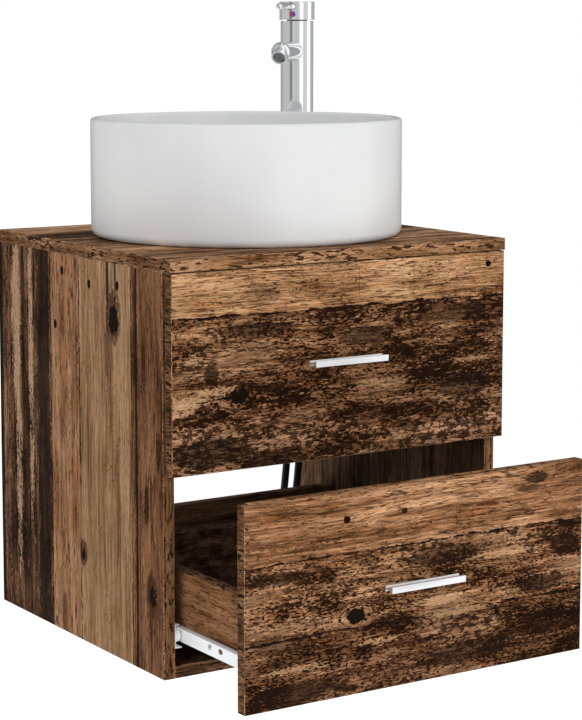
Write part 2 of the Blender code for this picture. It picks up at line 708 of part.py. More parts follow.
def tap_shank():
    """The threaded stub that passes through the countertop and carries the hoses."""
    rod("tap_shank", SHANK_RADIUS, -BOARD - SHANK_LENGTH, SHANK_TOP, TAP_PLACE, BRASS, 28)
    nut("tap_backnut", 0.0250, SHANK_RADIUS + GAP, -BOARD - 0.0115, -BOARD - GAP, TAP_PLACE, BRASS)


# Supply hoses

HOSE_TOP = COUNTER_TOP - BOARD - SHANK_LENGTH - GAP
CURL_START = 0.45            # share of the length that hangs straight
CURL = 0.0115                # how far the lower end has drifted to the left
CURL_BACK = 0.3              # its drift to the wall, as a share of that


def hose_points(side):
    """A hose hanging from the shank, its lower part curling slightly to the left."""
    count = 22
    x, y = TAP_X + side * HOSE_SPREAD, TAP_Y
    points = []
    for step in range(count + 1):
        share = step / count
        drift = CURL * max(0.0, (share - CURL_START) / (1.0 - CURL_START)) ** 2
        points.append(Vector((x - drift, y + CURL_BACK * drift, HOSE_TOP - HOSE_LENGTH * share)))
    return points


def hose(name, side, nut_name):
    points = hose_points(side)
    curve = bpy.data.curves.new(name, 'CURVE')
    curve.dimensions = '3D'
    curve.bevel_depth = HOSE_RADIUS
    curve.bevel_resolution = 2
    curve.use_fill_caps = True
    spline = curve.splines.new('POLY')
    spline.points.add(len(points) - 1)
    for point, place in zip(spline.points, points):
        point.co = (*place, 1.0)
    add(name, curve, BLACK_RUBBER)
    as_mesh(bpy.data.objects[name])
    hose_nut(nut_name, points[-1], (points[-1] - points[-2]).normalized())


def hose_nut(name, end, direction):
    """A crimped sleeve and the union nut below it, open at the lower end."""
    turn = direction.to_track_quat('Z', 'Y').to_matrix().to_4x4()
    place = Matrix.Translation(end) @ turn
    sleeve, wide, bore, bore_depth, sleeve_length = 0.0066, 0.0100, 0.0080, 0.010, 0.016
    floor = NUT_HEIGHT - bore_depth
    profile = [(0.0, floor), (bore, floor), (bore, NUT_HEIGHT), (wide, NUT_HEIGHT),
               (wide, sleeve_length + 0.001), (sleeve, sleeve_length), (sleeve, GAP), (0.0, GAP)]
    turned(name, profile, place, ZINC_STEEL, 12, closed=False)


def build():
    side_panel("side_panel_left", -1)
    side_panel("side_panel_right", 1)
    bottom_panel()
    countertop()
    hanging_rail()
    lower_rail()
    wall_bracket("wall_bracket_left", -1)
    wall_bracket("wall_bracket_right", 1)
    build_drawer(Drawer("lower_drawer", 0, OPEN_AT_REST), recessed=False)
    build_drawer(Drawer("upper_drawer", 1, 0.0), recessed=True)
    basin()
    waste()
    waste_plug()
    tap_body()
    tap_aerator()
    tap_cartridge()
    tap_rotor()
    tap_spindle()
    tap_cap()
    tap_lever()
    tap_indicator()
    tap_shank()
    hose("hot_hose", -1, "hot_hose_nut")
    hose("cold_hose", 1, "cold_hose_nut")


build()
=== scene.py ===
"""Wall-hung vanity with a vessel basin and a tall mixer tap: its looks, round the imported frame.

Metres, +Z up, X to the right and +Y towards the wall. The origin is on the wall, behind the middle of
the hanging rail. Tones are written as the light values, 0 to 255, that a finish shows in even light.
"""
import json
from math import atan2, cos, pi, radians, sin

import bmesh
import bpy
from mathutils import Matrix, Vector

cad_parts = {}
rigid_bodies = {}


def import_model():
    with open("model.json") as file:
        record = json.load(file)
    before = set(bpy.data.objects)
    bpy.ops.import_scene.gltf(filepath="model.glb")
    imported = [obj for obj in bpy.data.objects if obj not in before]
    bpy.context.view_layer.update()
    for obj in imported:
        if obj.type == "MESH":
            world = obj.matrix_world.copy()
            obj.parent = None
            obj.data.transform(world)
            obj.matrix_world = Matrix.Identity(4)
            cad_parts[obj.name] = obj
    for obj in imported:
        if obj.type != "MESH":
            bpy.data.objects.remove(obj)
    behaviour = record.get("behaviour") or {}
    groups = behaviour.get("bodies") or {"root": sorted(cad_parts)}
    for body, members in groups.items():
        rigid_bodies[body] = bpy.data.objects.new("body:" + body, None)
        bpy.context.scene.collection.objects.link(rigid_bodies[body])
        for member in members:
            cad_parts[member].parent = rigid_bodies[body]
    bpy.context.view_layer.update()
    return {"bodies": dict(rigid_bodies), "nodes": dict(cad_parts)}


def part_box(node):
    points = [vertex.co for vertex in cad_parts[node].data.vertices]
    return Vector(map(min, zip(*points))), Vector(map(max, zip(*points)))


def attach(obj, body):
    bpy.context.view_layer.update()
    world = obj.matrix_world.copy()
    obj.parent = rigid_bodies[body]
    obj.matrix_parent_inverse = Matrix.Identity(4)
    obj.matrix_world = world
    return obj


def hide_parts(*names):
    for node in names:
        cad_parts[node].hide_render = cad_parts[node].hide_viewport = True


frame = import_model()

# Places that the frame gives
COUNTER_UNDER, COUNTER_TOP = (corner.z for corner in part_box("countertop"))
TAP = sum(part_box("tap_cap"), Vector()) / 2
BASIN = sum(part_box("basin"), Vector()) / 2
TO_BASIN = atan2(BASIN.y - TAP.y, BASIN.x - TAP.x)
TAP_PLACE = Matrix.Translation((TAP.x, TAP.y, COUNTER_TOP))
BASIN_PLACE = Matrix.Translation((BASIN.x, BASIN.y, COUNTER_TOP))
GAP = 0.0003

# Camera
EYE = (-1.4800, -2.6029, 0.3265)
EYE_YAW = radians(32.857)
EYE_DIP = radians(6.916)
LENS = 108.63
SHIFT = (0.0127, -0.10)

# Supply hoses
HOSE_RADIUS = 0.0052
HOSE_SPREAD = 0.0104
HOSE_LENGTH = 0.367
SHANK_LENGTH = 0.029
HOSE_TOP = COUNTER_UNDER - SHANK_LENGTH - GAP
CURL_START = 0.45
CURL = 0.0115
CURL_BACK = 0.3
NUT_HEIGHT = 0.032


# Node trees

class Link:
    """A socket that Python's arithmetic works on."""

    def __init__(self, tree, socket):
        self.tree, self.socket = tree, socket

    def made(self, operation, *values):
        return self.tree.add("ShaderNodeMath", {"operation": operation}, dict(enumerate(values)))

    def __add__(self, other):
        return self.made('ADD', self, other)

    def __sub__(self, other):
        return self.made('SUBTRACT', self, other)

    def __rsub__(self, other):
        return self.made('SUBTRACT', other, self)

    def __mul__(self, other):
        return self.made('MULTIPLY', self, other)

    def __truediv__(self, other):
        return self.made('DIVIDE', self, other)

    def __rtruediv__(self, other):
        return self.made('DIVIDE', other, self)

    def __pow__(self, other):
        return self.made('POWER', self, other)

    def __abs__(self):
        return self.made('ABSOLUTE', self)

    __radd__, __rmul__ = __add__, __mul__


class Tree:
    """A node tree that is filled one node at a time."""

    def __init__(self, nodes):
        self.nodes = nodes

    def add(self, kind, settings=None, values=None, out=0):
        """A node of that kind: its settings first, then its sockets' values or links."""
        node = self.nodes.nodes.new(kind)
        for key, value in (settings or {}).items():
            if key == "stops":
                self.stops(node.color_ramp.elements, value)
            else:
                setattr(node, key, value)
        for key, value in (values or {}).items():
            self.feed(node.inputs[key], value)
        return Link(self, node.outputs[out])

    @staticmethod
    def stops(elements, wanted):
        elements[0].position, elements[1].position = wanted[0][0], wanted[-1][0]
        for place, colour in wanted[1:-1]:
            elements.new(place)
        for element, (place, colour) in zip(elements, wanted):
            element.color = (*colour, 1.0)

    def feed(self, socket, value):
        if isinstance(value, Link):
            self.nodes.links.new(value.socket, socket)
        else:
            socket.default_value = value


def opaque(colour):
    return colour if isinstance(colour, Link) else (*colour, 1.0)


def tone(red, green, blue, light=0.9):
    """Linear colour of a finish that shows these values in even light."""
    values = [value / 255 for value in (red, green, blue)]
    return tuple((((v + 0.055) / 1.055) ** 2.4 if v > 0.04 else v / 12.92) / light for v in values)


def shade(colour, share):
    return tuple(part * share for part in colour)


class Finish(Tree):
    """A procedural material."""

    def __init__(self, name, **constants):
        self.material = bpy.data.materials.new(name)
        self.material.use_nodes = True
        super().__init__(self.material.node_tree)
        self.shader = self.nodes.nodes["Principled BSDF"]
        for key, value in constants.items():
            self.set(key.replace("_", " "), value)

    def set(self, socket, value):
        self.feed(self.shader.inputs[socket], opaque(value) if isinstance(value, tuple) else value)

    def place(self):
        return self.add("ShaderNodeTexCoord", out="Object")

    def parts(self, vector):
        node = self.add("ShaderNodeSeparateXYZ", values={0: vector}).socket.node
        return [Link(self, output) for output in node.outputs]

    def vector(self, x, y, z):
        return self.add("ShaderNodeCombineXYZ", values={0: x, 1: y, 2: z})

    def noise(self, vector, scale=1.0, detail=2.0, roughness=0.5, twist=0.0):
        return self.add("ShaderNodeTexNoise", values={"Vector": vector, "Scale": scale, "Detail": detail,
                                                      "Roughness": roughness, "Distortion": twist})

    def between(self, value, low, high):
        """0 below low and 1 above high, with a soft step between."""
        return self.add("ShaderNodeMapRange", {"interpolation_type": 'SMOOTHSTEP'},
                        {"Value": value, "From Min": low, "From Max": high})

    def mix(self, share, first, second):
        return self.add("ShaderNodeMix", {"data_type": 'RGBA'},
                        {0: share, 6: opaque(first), 7: opaque(second)}, out=2)

    def ramp(self, value, *stops):
        return self.add("ShaderNodeValToRGB", {"stops": stops}, {0: value})

    def bump(self, height, depth, strength=1.0):
        self.set("Normal", self.add("ShaderNodeBump", values={"Height": height, "Distance": depth,
                                                              "Strength": strength}))

    def stretched(self, x, y, z):
        """Object coordinates scaled along each axis."""
        return self.add("ShaderNodeMapping", values={0: self.place(), "Scale": (x, y, z)})


# Wood decor

class Planks(Finish):
    """Printed decor of old planks. grain is the axis they run along and stack the axis they lie on."""

    def __init__(self, name, grain, stack, seed, knots=(), roughness=0.75):
        super().__init__(name, Specular_IOR_Level=0.03)
        axes = dict(zip("xyz", self.parts(self.place())))
        self.along, self.over = axes[grain], axes[stack]
        self.depth = axes[({"x", "y", "z"} - {grain, stack}).pop()]
        self.seed, self.roughness = seed, roughness
        self.true_over = self.over
        for place, level, size in knots:
            near = self.near(place, level, 2.6 * size, 1.7 * size)
            self.over = self.over - (self.over - level) * near * 0.75
        sway = self.field(5, 9, 1) - 0.5
        self.over = self.over + sway * 0.012
        self.bands = self.spread(self.field(4.0, 95, 3, 0.62), 0.30, 0.70)
        self.fibres = self.spread(self.field(16, 420, 2, 0.70), 0.28, 0.72)
        self.hairs = self.spread(self.field(45, 1500, 1, 0.60), 0.28, 0.72)
        self.clouds = self.spread(self.field(11, 30, 3, 0.60), 0.34, 0.66)
        self.patches = self.field(19, 60, 3, 0.65)
        self.dashes = self.field(85, 560, 2, 0.70)
        self.flecks = self.field(75, 380, 3, 0.75)
        self.cracks = abs(self.field(7, 75, 3, 0.65) - 0.5)
        self.regions = self.spread(self.field(3.5, 8.5, 2), 0.36, 0.64)
        self.specks = self.spread(self.field(185, 500, 2, 0.65), 0.28, 0.72)
        self.spots = self.spread(self.field(70, 230, 2, 0.60), 0.28, 0.72)
        self.streaks = self.spread(self.field(28, 620, 2, 0.70), 0.28, 0.72)
        self.rows = self.rows_of_dashes()

    def near(self, place, level, long, wide, reach=1.0):
        """1 at a point, fading out over an ellipse, reach being the square of its size."""
        far = ((self.along - place) / long) ** 2 + ((self.true_over - level) / wide) ** 2
        return 1 - self.between(far, 0.0, reach)

    def field(self, along, over, detail, roughness=0.5):
        """Noise drawn out along the grain: how many features a metre has each way."""
        self.seed += 1.7
        vector = self.vector(self.along * along, self.over * over, self.depth * 40 + self.seed)
        return self.noise(vector, 1.0, detail, roughness)

    def rows_of_dashes(self):
        """Short dashes in level rows, like the checks in burnt wood."""
        dashes = self.spread(self.field(120, 190, 1, 0.5), 0.30, 0.70)
        wave = (self.over * 1450 + (self.patches - 0.5) * 14).made("SINE")
        return dashes + wave * 0.16

    def spread(self, value, low, high):
        return (value - low) / (high - low)

    def plank(self, dark, mid, light, bands=0.45, fibres=0.35, clouds=0.40, dashes=0.0, flecks=0.0,
              rust=0.0, blots=0.0, cracks=0.0, char=0.0, specks=0.0, drift=0.0):
        """One plank's colour. The shares say how strongly each kind of mark shows."""
        total = (bands + fibres + clouds + 0.2) * 0.62
        value = (self.bands - 0.5) * (bands / total) + (self.fibres - 0.5) * (fibres / total)
        value = value + (self.clouds - 0.5) * (clouds / total) + (self.hairs - 0.5) * (0.2 / total) + 0.5
        if drift:
            value = value + (self.regions - 0.5) * drift
        colour = self.ramp(value, (0.0, shade(dark, 0.55)), (0.16, dark), (0.5, mid), (0.84, light),
                           (1.0, shade(light, 1.25)))
        if rust:
            orange = (mid[0] * 1.35, mid[1] * 0.95, mid[2] * 0.62)
            share = self.between(self.patches, 0.52, 0.66) * self.between(self.fibres, 0.2, 0.8) * rust
            colour = self.mix(share, colour, orange)
        if blots:
            share = self.between(self.clouds * 0.7 + self.patches * 0.6, 0.78, 0.98) * blots
            colour = self.mix(share, colour, shade(dark, 0.45))
        if specks:
            level = self.specks + (self.regions - 0.5) * -0.25 + (self.clouds - 0.5) * -0.45
            share = self.between(level, 1.02 - specks, 1.16 - specks)
            colour = self.mix(share, colour, shade(dark, 0.30))
        if char:
            level = self.regions - self.clouds * 0.3
            share = self.between(self.rows, 0.56, 0.66) * self.between(level, 0.30, 0.50)
            colour = self.mix(share * char, colour, shade(dark, 0.30))
        if cracks:
            share = (1 - self.between(self.cracks, 0.004, 0.022)) * self.between(self.clouds, 0.35, 0.6)
            colour = self.mix(share * cracks, colour, shade(dark, 0.5))
        if flecks:
            share = self.between(self.flecks, 0.60, 0.67) * self.between(self.patches, 0.40, 0.60) * flecks
            colour = self.mix(share, colour, shade(light, 1.45))
        if dashes:
            share = self.between(self.dashes, 0.545, 0.61) * dashes
            colour = self.mix(share, colour, shade(dark, 0.30))
        return colour

    def stack(self, planks, edges, gap=0.0012, wander=0.006):
        """Lay planks side by side, with a ragged dark gap at each edge."""
        ragged = self.field(30, 1, 4, 0.72)
        edge_line = self.true_over + (ragged - 0.5) * wander
        colour = planks[0]
        for plank, edge in zip(planks[1:], edges):
            beyond = self.between(edge_line - edge, -0.0004, 0.0004)
            colour = self.mix(beyond, colour, plank)
            torn = self.field(45, 160, 3, 0.8)
            width = self.between(torn, 0.35, 0.70) * (2.4 * gap)
            lie = self.between(width - abs(edge_line - edge), -0.0003, 0.0006)
            colour = self.mix(lie, colour, BLACK_WOOD)
        return colour

    def mark(self, colour, place, level, long, wide, ink, strength=1.0, rough=0.35):
        """A knot, stain or nail hole, breaking up into specks towards its edge."""
        soft = self.near(place, level, long, wide, 1.7)
        broken = ((self.specks - 0.5) * 0.8 + (self.streaks - 0.5) * 0.4
                  + (self.patches - 0.5) * 1.2) * rough
        share = self.between(soft + broken, 0.36, 0.62) * self.between(soft, 0.0, 0.15)
        return self.mix(share * strength, colour, ink)

    def streak(self, colour, place, level, long, wide, ink, strength=1.0):
        """A pale streak, combed into fibres and broken by specks."""
        soft = self.near(place, level, long, wide, 1.6)
        combed = (self.streaks - 0.5) * 1.2 + (self.specks - 0.5) * -1.4 + (self.clouds - 0.5) * 0.8
        share = self.between(soft + combed, 0.45, 0.95) * self.between(soft, 0.0, 0.3) * strength
        return self.mix(share, colour, ink)

    def show(self, colour, depth=0.00018):
        self.set("Base Color", colour)
        self.set("Roughness", self.roughness + (self.fibres - 0.5) * 0.10)
        self.bump(self.fibres * 0.4 + self.hairs * 0.2 + self.between(self.dashes, 0.5, 0.6) * -0.5, depth)
        return self.material


BLACK_WOOD = tone(24, 14, 9)


def side_planks(name, seed):
    """Outer face of a side panel: four upright planks."""
    knots = [(-0.020, -0.315, 0.020), (-0.330, -0.234, 0.008), (-0.345, -0.414, 0.008)]
    f = Planks(name, "z", "y", seed, knots)
    red = f.plank(tone(64, 38, 21), tone(108, 74, 49), tone(130, 93, 66), bands=0.5, fibres=0.45, clouds=0.3,
                  rust=0.4, cracks=0.8, dashes=0.6, specks=0.25, drift=0.3)
    olive = f.plank(tone(104, 74, 48), tone(137, 106, 77), tone(158, 126, 96), bands=0.6, fibres=0.6,
                    clouds=0.15, dashes=0.35, cracks=0.5, specks=0.05, drift=0.1)
    tan = f.plank(tone(92, 60, 37), tone(133, 96, 67), tone(156, 120, 90), bands=0.45, fibres=0.4,
                  clouds=0.3, rust=0.8, cracks=1.0, dashes=0.5, specks=0.22, drift=0.2)
    black = f.plank(tone(42, 25, 14), tone(84, 56, 38), tone(140, 106, 80), bands=0.6, fibres=0.5,
                    clouds=0.4, rust=0.5, blots=0.4, flecks=0.9, dashes=0.7, cracks=0.7, specks=0.35,
                    drift=0.3)
    colour = f.stack([red, olive, tan, black], (-0.360, -0.228, -0.150), 0.0008, 0.003)
    ink, stain = tone(22, 12, 7), tone(54, 33, 20)
    for level, wide, strength in ((-0.004, 0.007, 0.9), (-0.070, 0.005, 0.5), (-0.128, 0.020, 0.85),
                                  (-0.372, 0.003, 0.9)):
        colour = f.mark(colour, -0.200, level, 0.600, wide, ink, strength, 1.0)
    for place, level, long, wide in ((-0.060, -0.050, 0.120, 0.014), (-0.280, -0.055, 0.120, 0.010),
                                     (-0.120, -0.092, 0.200, 0.008)):
        colour = f.streak(colour, place, level, long, wide, tone(168, 136, 108), 0.8)
    stains = [(-0.022, -0.316, 0.034, 0.020, stain, 0.8), (-0.026, -0.317, 0.019, 0.013, ink, 1.0),
              (0.022, -0.302, 0.040, 0.004, ink, 0.9), (0.026, -0.322, 0.036, 0.003, ink, 0.8),
              (-0.064, -0.300, 0.034, 0.008, stain, 0.5), (-0.330, -0.234, 0.018, 0.010, stain, 0.8),
              (-0.332, -0.234, 0.008, 0.005, ink, 1.0), (-0.345, -0.408, 0.028, 0.014, stain, 0.8),
              (-0.347, -0.410, 0.013, 0.008, ink, 1.0), (-0.240, -0.396, 0.030, 0.006, ink, 0.8),
              (-0.170, -0.424, 0.026, 0.006, ink, 0.8), (-0.420, -0.180, 0.030, 0.008, stain, 0.7)]
    for place, level, long, wide, colour_of, strength in stains:
        colour = f.mark(colour, place, level, long, wide, colour_of, strength, 1.0)
    for place, level in ((0.021, -0.183), (0.011, -0.255), (0.016, -0.327), (-0.049, -0.163)):
        colour = f.mark(colour, place, level, 0.0065, 0.0042, ink, rough=0.1)
    return f.show(colour)


def front_planks(name, seed, split, lower_split, top_plank, low_plank, knots, marks):
    """A drawer front: a light plank along its top and dark, weathered ones below."""
    f = Planks(name, "x", "z", seed, knots)
    top = f.plank(*top_plank, bands=0.40, fibres=0.45, clouds=0.35, rust=0.35, cracks=0.9, dashes=0.7,
                  flecks=0.35, specks=0.22, drift=0.2)
    middle = f.plank(tone(56, 31, 15), tone(130, 90, 60), tone(178, 136, 101), bands=0.45, fibres=0.35,
                     clouds=0.5, rust=0.5, blots=0.5, flecks=0.85, dashes=0.6, cracks=0.9, char=0.85,
                     specks=0.50, drift=0.25)
    low = f.plank(*low_plank, bands=0.45, fibres=0.35, clouds=0.5, rust=0.5, blots=0.5, flecks=0.8,
                  dashes=0.6, cracks=0.9, char=0.85, specks=0.52, drift=0.3)
    colour = f.stack([low, middle, top], (lower_split, split), 0.0011, 0.012)
    for place, level, long, wide, ink, strength, rough in marks:
        if ink is PALE:
            colour = f.streak(colour, place, level, long, wide, ink, strength)
        else:
            colour = f.mark(colour, place, level, long, wide, ink, strength, rough)
    return f.show(colour)


NAIL, KNOT, SMEAR, PALE = tone(16, 9, 5), tone(22, 12, 7), tone(28, 15, 9), tone(196, 155, 114)


def upper_front_planks():
    marks = [(0.218, 0.027, 0.0048, 0.0042, NAIL, 1.0, 0.15),
             (-0.151, -0.108, 0.015, 0.011, KNOT, 1.0, 0.6),
             (-0.190, -0.078, 0.012, 0.016, SMEAR, 0.8, 0.8), (0.030, -0.050, 0.050, 0.012, SMEAR, 0.7, 0.9),
             (0.160, -0.030, 0.060, 0.012, SMEAR, 0.6, 0.9), (-0.190, -0.172, 0.060, 0.020, SMEAR, 0.8, 0.9),
             (-0.110, -0.190, 0.050, 0.012, SMEAR, 0.8, 0.9),
             (-0.130, -0.030, 0.060, 0.010, SMEAR, 0.7, 0.9),
             (0.180, -0.125, 0.050, 0.018, SMEAR, 0.6, 0.9), (-0.222, -0.112, 0.026, 0.008, PALE, 0.60, 1.0),
             (-0.180, -0.100, 0.030, 0.007, PALE, 0.5, 1.0), (0.180, -0.092, 0.050, 0.004, PALE, 0.35, 1.0),
             (0.060, -0.110, 0.050, 0.006, PALE, 0.3, 1.0), (-0.215, -0.060, 0.016, 0.007, PALE, 0.5, 1.0),
             (-0.170, -0.006, 0.040, 0.002, PALE, 0.6, 1.0), (-0.120, 0.010, 0.030, 0.014, SMEAR, 0.35, 1.0),
             (0.020, 0.016, 0.0008, 0.022, SMEAR, 0.5, 0.4), (0.102, 0.015, 0.0008, 0.024, SMEAR, 0.5, 0.4)]
    return front_planks("upper_front_decor", 11.0, -0.0128, -0.110,
                        (tone(88, 55, 30), tone(166, 124, 86), tone(196, 154, 116)),
                        (tone(56, 31, 15), tone(128, 89, 60), tone(178, 135, 102)),
                        [(-0.151, -0.108, 0.014)], marks)


def lower_front_planks():
    marks = [(-0.106, -0.232, 0.0052, 0.0046, NAIL, 1.0, 0.15),
             (-0.025, -0.231, 0.0046, 0.0040, NAIL, 0.9, 0.2),
             (-0.093, -0.346, 0.014, 0.010, KNOT, 1.0, 0.6), (0.172, -0.214, 0.018, 0.008, SMEAR, 0.85, 0.9),
             (0.158, -0.226, 0.020, 0.004, SMEAR, 0.7, 0.9), (-0.200, -0.288, 0.050, 0.008, SMEAR, 0.7, 0.9),
             (0.030, -0.290, 0.060, 0.012, SMEAR, 0.7, 0.9), (0.216, -0.300, 0.024, 0.018, SMEAR, 0.8, 0.9),
             (0.180, -0.345, 0.040, 0.012, SMEAR, 0.7, 0.9), (-0.180, -0.425, 0.060, 0.014, SMEAR, 0.8, 0.9),
             (0.060, -0.412, 0.080, 0.014, SMEAR, 0.7, 0.9), (-0.200, -0.365, 0.040, 0.012, SMEAR, 0.5, 0.9),
             (0.120, -0.300, 0.060, 0.005, PALE, 0.45, 1.0), (0.020, -0.345, 0.040, 0.005, PALE, 0.5, 1.0),
             (0.060, -0.362, 0.060, 0.004, PALE, 0.4, 1.0), (-0.170, -0.395, 0.050, 0.005, PALE, 0.4, 1.0),
             (-0.060, -0.380, 0.040, 0.004, PALE, 0.4, 1.0), (0.050, -0.250, 0.0007, 0.020, SMEAR, 0.5, 0.4)]
    return front_planks("lower_front_decor", 29.0, -0.2714, -0.360,
                        (tone(74, 44, 22), tone(130, 90, 60), tone(180, 137, 101)),
                        (tone(50, 27, 12), tone(110, 75, 49), tone(160, 119, 88)),
                        [(-0.093, -0.346, 0.012)], marks)


def counter_planks():
    """Countertop: planks side by side along X."""
    f = Planks("countertop_decor", "x", "y", 47.0, [(-0.170, -0.390, 0.010)])
    front = f.plank(tone(66, 42, 23), tone(122, 87, 60), tone(188, 147, 113), bands=0.7, clouds=0.5,
                    rust=0.4, flecks=0.4, dashes=0.7, cracks=0.8, specks=0.28, drift=0.3)
    back = f.plank(tone(54, 34, 19), tone(108, 76, 53), tone(170, 131, 100), bands=0.7, clouds=0.6,
                   rust=0.4, blots=0.5, flecks=0.5, dashes=0.7, cracks=0.8, specks=0.35, drift=0.3)
    colour = f.stack([front, back, front], (-0.270, -0.120), 0.0010, 0.005)
    return f.show(colour)


def inner_planks():
    """Inside faces of the cabinet: the same decor, upright and dark."""
    f = Planks("inside_decor", "z", "y", 61.0)
    tones = ((56, 38, 25), (104, 77, 56), (146, 114, 88)), ((42, 28, 18), (80, 58, 42), (118, 90, 69))
    light, dark = (f.plank(*[tone(*part) for part in group], clouds=0.4, dashes=0.5, blots=0.4, cracks=0.5,
                           drift=0.3) for group in tones)
    return f.show(f.stack([dark, light, dark, light], (-0.353, -0.228, -0.141), 0.0008, 0.003))


def level_planks(name, seed, grain, stack, dark, mid, light, **marks):
    """One even run of planks for a small board."""
    f = Planks(name, grain, stack, seed)
    return f.show(f.plank(dark, mid, light, **marks))


def edge_band(name, seed, dark, mid, light, grain, stack):
    """Edge banding: brown, with black spots that run along it."""
    f = Planks(name, grain, stack, seed)
    colour = f.plank(dark, mid, light, bands=0.3, fibres=0.5, clouds=0.5, rust=0.4, dashes=0.6)
    spots = f.between(f.spots + (f.clouds - 0.5) * 0.3, 0.66, 0.76) * 0.95
    return f.show(f.mix(spots, colour, shade(dark, 0.30)))


# Plainer finishes

def mottled(name, dark, light, size, roughness, **constants):
    """A colour that drifts a little from place to place."""
    f = Finish(name, **constants)
    cloud = f.noise(f.place(), size, 3)
    f.set("Base Color", f.mix(f.between(cloud, 0.3, 0.7), dark, light))
    f.set("Roughness", roughness[0] + cloud * (roughness[1] - roughness[0]))
    return f


def powder_coat():
    """White powder coat on steel: a fine orange-peel skin, greyer where it is rubbed."""
    f = Finish("white_steel_coat")
    cloud = f.noise(f.place(), 60, 3)
    f.set("Roughness", 0.26 + cloud * 0.16)
    rub = f.between(f.noise(f.stretched(60, 900, 60), 1.0, 3, 0.7), 0.60, 0.78)
    f.set("Base Color", f.mix(rub * 0.35, f.mix(cloud, tone(216, 219, 222), tone(228, 230, 232)),
                              tone(176, 174, 170)))
    f.bump(f.noise(f.place(), 1400, 2), 0.00003, 0.5)
    return f.material


def nylon(name, dark, light):
    f = mottled(name, dark, light, 90, (0.34, 0.46), Subsurface_Weight=0.05)
    f.bump(f.noise(f.place(), 2600, 2), 0.00002, 0.4)
    return f.material


def galvanised():
    """Zinc plate: fine crystals that catch the light, duller in patches."""
    f = Finish("zinc_plate", Metallic=1.0)
    cloud = f.noise(f.place(), 35, 3)
    f.set("Roughness", 0.24 + cloud * 0.20)
    grains = f.add("ShaderNodeTexVoronoi", values={"Vector": f.place(), "Scale": 420.0}, out="Distance")
    f.set("Base Color", f.mix(grains, f.mix(cloud, tone(158, 160, 164), tone(190, 192, 196)),
                              tone(204, 206, 209)))
    f.bump(grains, 0.00002, 0.4)
    return f.material


def anodised():
    """Matt anodised aluminium, with the die's hair lines along X."""
    f = Finish("anodised_bar", Metallic=0.75)
    lines = f.noise(f.stretched(20, 4200, 4200), 1.0, 3, 0.7)
    cloud = f.noise(f.place(), 40, 2)
    f.set("Base Color", f.mix(lines, tone(212, 212, 214), tone(240, 240, 241)))
    f.set("Roughness", 0.24 + lines * 0.16 + cloud * 0.06)
    f.bump(lines, 0.00002, 0.35)
    return f.material


def glaze():
    """White sanitary glaze: thick and glossy, very slightly uneven."""
    f = Finish("ceramic_glaze", Specular_IOR_Level=0.35, Coat_Weight=0.10, Coat_Roughness=0.08)
    cloud = f.noise(f.place(), 9, 3)
    pits = f.between(f.noise(f.place(), 900, 2, 0.6), 0.70, 0.78)
    body = f.mix(f.between(cloud, 0.3, 0.7), tone(203, 203, 204), tone(207, 207, 207))
    f.set("Base Color", f.mix(pits * 0.12, body, tone(196, 196, 194)))
    f.set("Roughness", 0.16 + cloud * 0.10)
    f.bump(f.noise(f.place(), 28, 2) * 0.7 + f.noise(f.place(), 420, 1) * 0.3, 0.00010, 0.30)
    return f.material


def chrome():
    """Polished chrome, with faint turned lines and water marks in its gloss."""
    f = Finish("polished_chrome", Metallic=1.0)
    cloud = f.noise(f.place(), 55, 3)
    lines = f.noise(f.stretched(30, 30, 2400), 1.0, 2, 0.6)
    f.set("Base Color", f.mix(cloud, tone(228, 230, 233), tone(238, 239, 240)))
    f.set("Roughness", 0.035 + f.between(cloud, 0.45, 0.75) * 0.045 + lines * 0.02)
    f.bump(f.noise(f.place(), 30, 1), 0.00002, 0.10)
    return f.material


def brass():
    """Machined brass with turned rings, browner in patches."""
    f = Finish("machined_brass", Metallic=1.0)
    rings = f.noise(f.stretched(12, 12, 3000), 1.0, 2, 0.6)
    stain = f.between(f.noise(f.place(), 70, 3, 0.6), 0.42, 0.68)
    f.set("Base Color", f.mix(stain * 0.6, f.mix(rings, tone(204, 166, 92), tone(226, 190, 118)),
                              tone(150, 108, 54)))
    f.set("Roughness", 0.22 + rings * 0.14 + stain * 0.14)
    f.bump(rings, 0.00003, 0.4)
    return f.material


def rubber():
    f = mottled("black_rubber_skin", tone(20, 21, 22), tone(40, 41, 43), 130, (0.42, 0.62))
    f.bump(f.noise(f.place(), 2000, 2), 0.00003, 0.5)
    return f.material


def hose_cover():
    """Woven black nylon over the hose: two families of threads that wind round it."""
    f = Finish("hose_weave", Specular_IOR_Level=0.45)
    turn, run, _ = f.parts(f.add("ShaderNodeTexCoord", out="UV"))
    first = f.add("ShaderNodeMath", {"operation": 'SINE'}, {0: run * 2600 + turn * 12})
    second = f.add("ShaderNodeMath", {"operation": 'SINE'}, {0: run * 2600 - turn * 12})
    weave = (first * second) * 0.5 + 0.5
    f.set("Base Color", f.mix(weave, tone(16, 17, 18), tone(58, 60, 63)))
    f.set("Roughness", 0.62 - weave * 0.22)
    f.bump(weave, 0.00020, 0.8)
    return f.material


def hardboard():
    """Thin hardboard: felted brown fibres under a dark printed film."""
    f = Finish("hardboard_film")
    f.set("Roughness", 0.55 + f.noise(f.place(), 30, 3) * 0.17)
    felt = f.noise(f.place(), 700, 4, 0.75)
    dark = f.noise(f.stretched(14, 260, 14), 1.0, 4, 0.65)
    f.set("Base Color", f.mix(f.between(dark, 0.35, 0.65), f.mix(felt, tone(50, 32, 21), tone(78, 54, 38)),
                              f.mix(felt, tone(84, 58, 41), tone(112, 82, 60))))
    f.bump(felt, 0.00006, 0.5)
    return f.material


